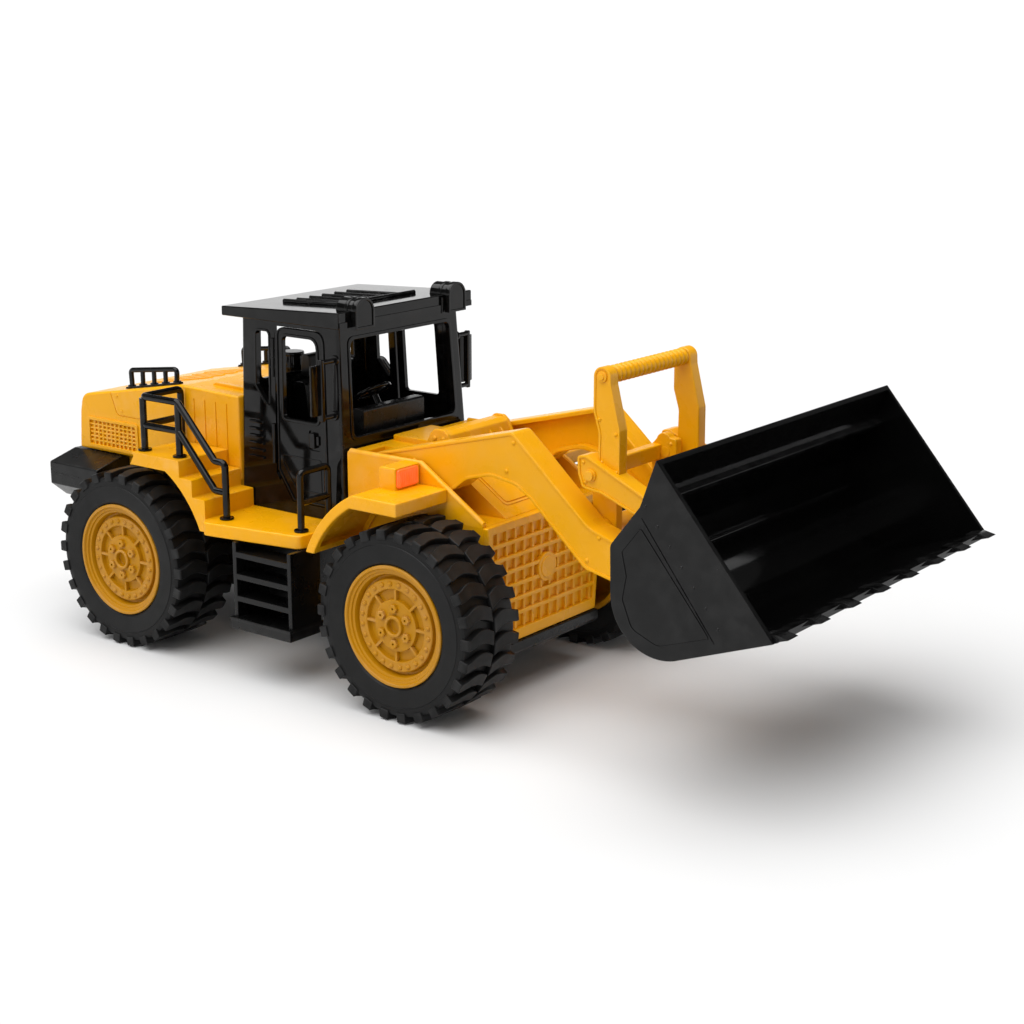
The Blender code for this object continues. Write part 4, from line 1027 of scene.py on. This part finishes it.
def at_edge(along, up):
    """The (x, z) point a distance along the cutting edge's slope and up from its tip."""
    return tuple(Vector(EDGE) + EDGE_RUN * along + EDGE_UP * up)


def build_bucket():
    shapes = [along_y(bucket_outline(0), -BUCKET_HALF, BUCKET_HALF, 0.5, 2)]
    lug = [(165, 86), (165, 132)] + arc(LINK_PIN, 8.0, 90, 180, 10) + arc(BUCKET_PIVOT, 8.0, 180, 270, 10)
    for side in (-1, 1):
        shapes += [flank(side, lug, y0, y1) for y0, y1 in ((31.0, 34.2), (51.9, 55.2))]
    panel = rounded([(168.9, 141.8), (158.0, 128.0), (160.8, 116.0), (158.6, 104.0), (164.5, 89.5),
                     (180.0, 83.4), (209.0, 93.2), (205.5, 97.8)], [2, 2, 3, 4, 8, 8, 1.6, 1.6], 5)
    details = []
    for side in (-1, 1):
        face = sided(side, 119.6, 120.4)
        details.append(along_y(ribbon([(169.5, 146.3), (211.5, 91.6)], 0.45), *face, 0.15, 1))
        details.append(rim_band(panel, 0.7, *face, 0.15))
        for i in range(7):
            spot = (171.6 + 6.93 * i, side * 119.9, 152.4 - 8.87 * i)
            details.append(dome(spot, (0, side, 0), 0.95, 0.6, 10))
    top_rib = [(170.3, 153.4), (174.9, 151.6), (176.1, 154.4), (171.7, 156.6)]
    low_rib = [(155.0, 112.0), (157.2, 112.0), (157.2, 114.6), (154.6, 114.6)]
    details += [along_y(rib, -117.4, 117.4, edge) for rib, edge in ((top_rib, 0.5), (low_rib, 0.4))]
    piece("bucket_shell", "bucket", shapes, body="bucket", nodes=["bucket"], details=details,
          cuts=[along_y(bucket_outline(2.6), -117.2, 117.2)])


def build_cutting_edge():
    reach, teeth, half = 117.0, 8, 5.0
    blade = [at_edge(s, t) for s, t in ((-9.0, -0.2), (0.6, -0.2), (0.6, 3.2), (-9.0, 3.2))]
    pitch = 2 * (reach - 5.3) / (teeth - 1)
    length = (249.0 - EDGE[0]) / EDGE_RUN.x
    tooth = [at_edge(s, t) for s, t in ((-7, 0.3), (length, 0.2), (length - 1.0, 0.9), (0.5, 3.7), (-7, 4.6))]
    middles = [-reach + 5.3 + pitch * i for i in range(teeth)]
    details = [along_y(tooth, y - half, y + half, 0.4) for y in middles]
    piece("edge_teeth", "bucket", [along_y(blade, -reach, reach, 0.4)], body="bucket",
          nodes=["cutting_edge"], details=details)


# ---- stage

def build_stage():
    """A pale paper floor that rises gently far away, in metres."""
    spokes = 96
    heights = ((2.0, 0.0), (4.0, 0.0), (7.0, 0.08), (10.0, 0.35), (14.0, 1.1), (17.0, 2.2), (19.0, 3.7),
               (20.0, 5.0))
    floor = bpy.data.objects.new("floor", bpy.data.meshes.new("floor"))
    bm = bmesh.new()
    centre = bm.verts.new((0, 0, 0))
    rows = [[bm.verts.new((radius * cos(a), radius * sin(a), height)) for a in turns(spokes)]
            for radius, height in heights]
    for i in range(spokes):
        j = (i + 1) % spokes
        bm.faces.new((centre, rows[0][i], rows[0][j]))
        for first, second in zip(rows, rows[1:]):
            bm.faces.new((first[i], second[i], second[j], first[j]))
    bm.to_mesh(floor.data)
    bm.free()
    floor.data.shade_smooth()
    mat = bpy.data.materials.new("floor_paper")
    mat.use_nodes = True
    shader = mat.node_tree.nodes["Principled BSDF"]
    paper = {"Base Color": (0.66, 0.66, 0.66, 1), "Roughness": 1.0, "Specular IOR Level": 0.0}
    for key, value in paper.items():
        shader.inputs[key].default_value = value
    floor.data.materials.append(mat)
    link(floor)


def sun(name, towards, strength, angle):
    """A broad lamp; towards is where the light comes from."""
    data = bpy.data.lights.new(name, "SUN")
    data.energy = strength * pi
    data.angle = radians(angle)
    obj = bpy.data.objects.new(name, data)
    obj.rotation_euler = Vector(towards).to_track_quat("Z", "Y").to_euler()
    link(obj)


def build_studio():
    world = bpy.data.worlds.new("studio")
    world.use_nodes = True
    background = world.node_tree.nodes["Background"].inputs
    background["Color"].default_value = (1, 1, 1, 1)
    background["Strength"].default_value = 0.12
    bpy.context.scene.world = world
    sun("sky", (-0.10, -0.20, 0.97), 1.34, 80)
    sun("front", (0.06, -0.92, 0.40), 0.25, 60)
    bpy.context.scene.view_settings.view_transform = "Standard"


def build_camera():
    """Three-quarter view from the loader's right and ahead of it."""
    turn, drop = radians(37.3), radians(14.6)
    forward = Vector((-sin(turn) * cos(drop), cos(turn) * cos(drop), -sin(drop)))
    data = bpy.data.cameras.new("camera")
    data.lens = 66.45
    data.sensor_width = 36.0
    data.clip_start = 0.01
    camera = bpy.data.objects.new("camera", data)
    camera.location = place((647.4, -848.9, 375.8))
    camera.rotation_euler = forward.to_track_quat("-Z", "Y").to_euler()
    link(camera)
    bpy.context.scene.camera = camera


# ---- assembly

dress_frame()
for end, x in (("front", 0.0), ("rear", REAR_X)):
    for side in (-1, 1):
        build_tyre(end, x, side)
        build_rim(end, x, side)
for build in (build_hood, build_counterweight, build_cab, build_roof, build_seat, build_dashboard,
              build_steering, build_air_cleaner, build_front_frame, build_grille, build_front_bumper):
    build()
for side in (-1, 1):
    for build in (build_side_deck, build_hood_rail, build_rear_handrail, build_front_handrail, build_ladder,
                  build_door, build_roof_lamp, build_mirror, build_fender, build_lens, build_boom_arm,
                  build_lever_arm):
        build(side)
for build in (build_boom_cross, build_rocker, build_grip, build_lever_beam, build_bucket,
              build_cutting_edge, build_stage, build_studio, build_camera):
    build()

bpy.context.view_layer.update()
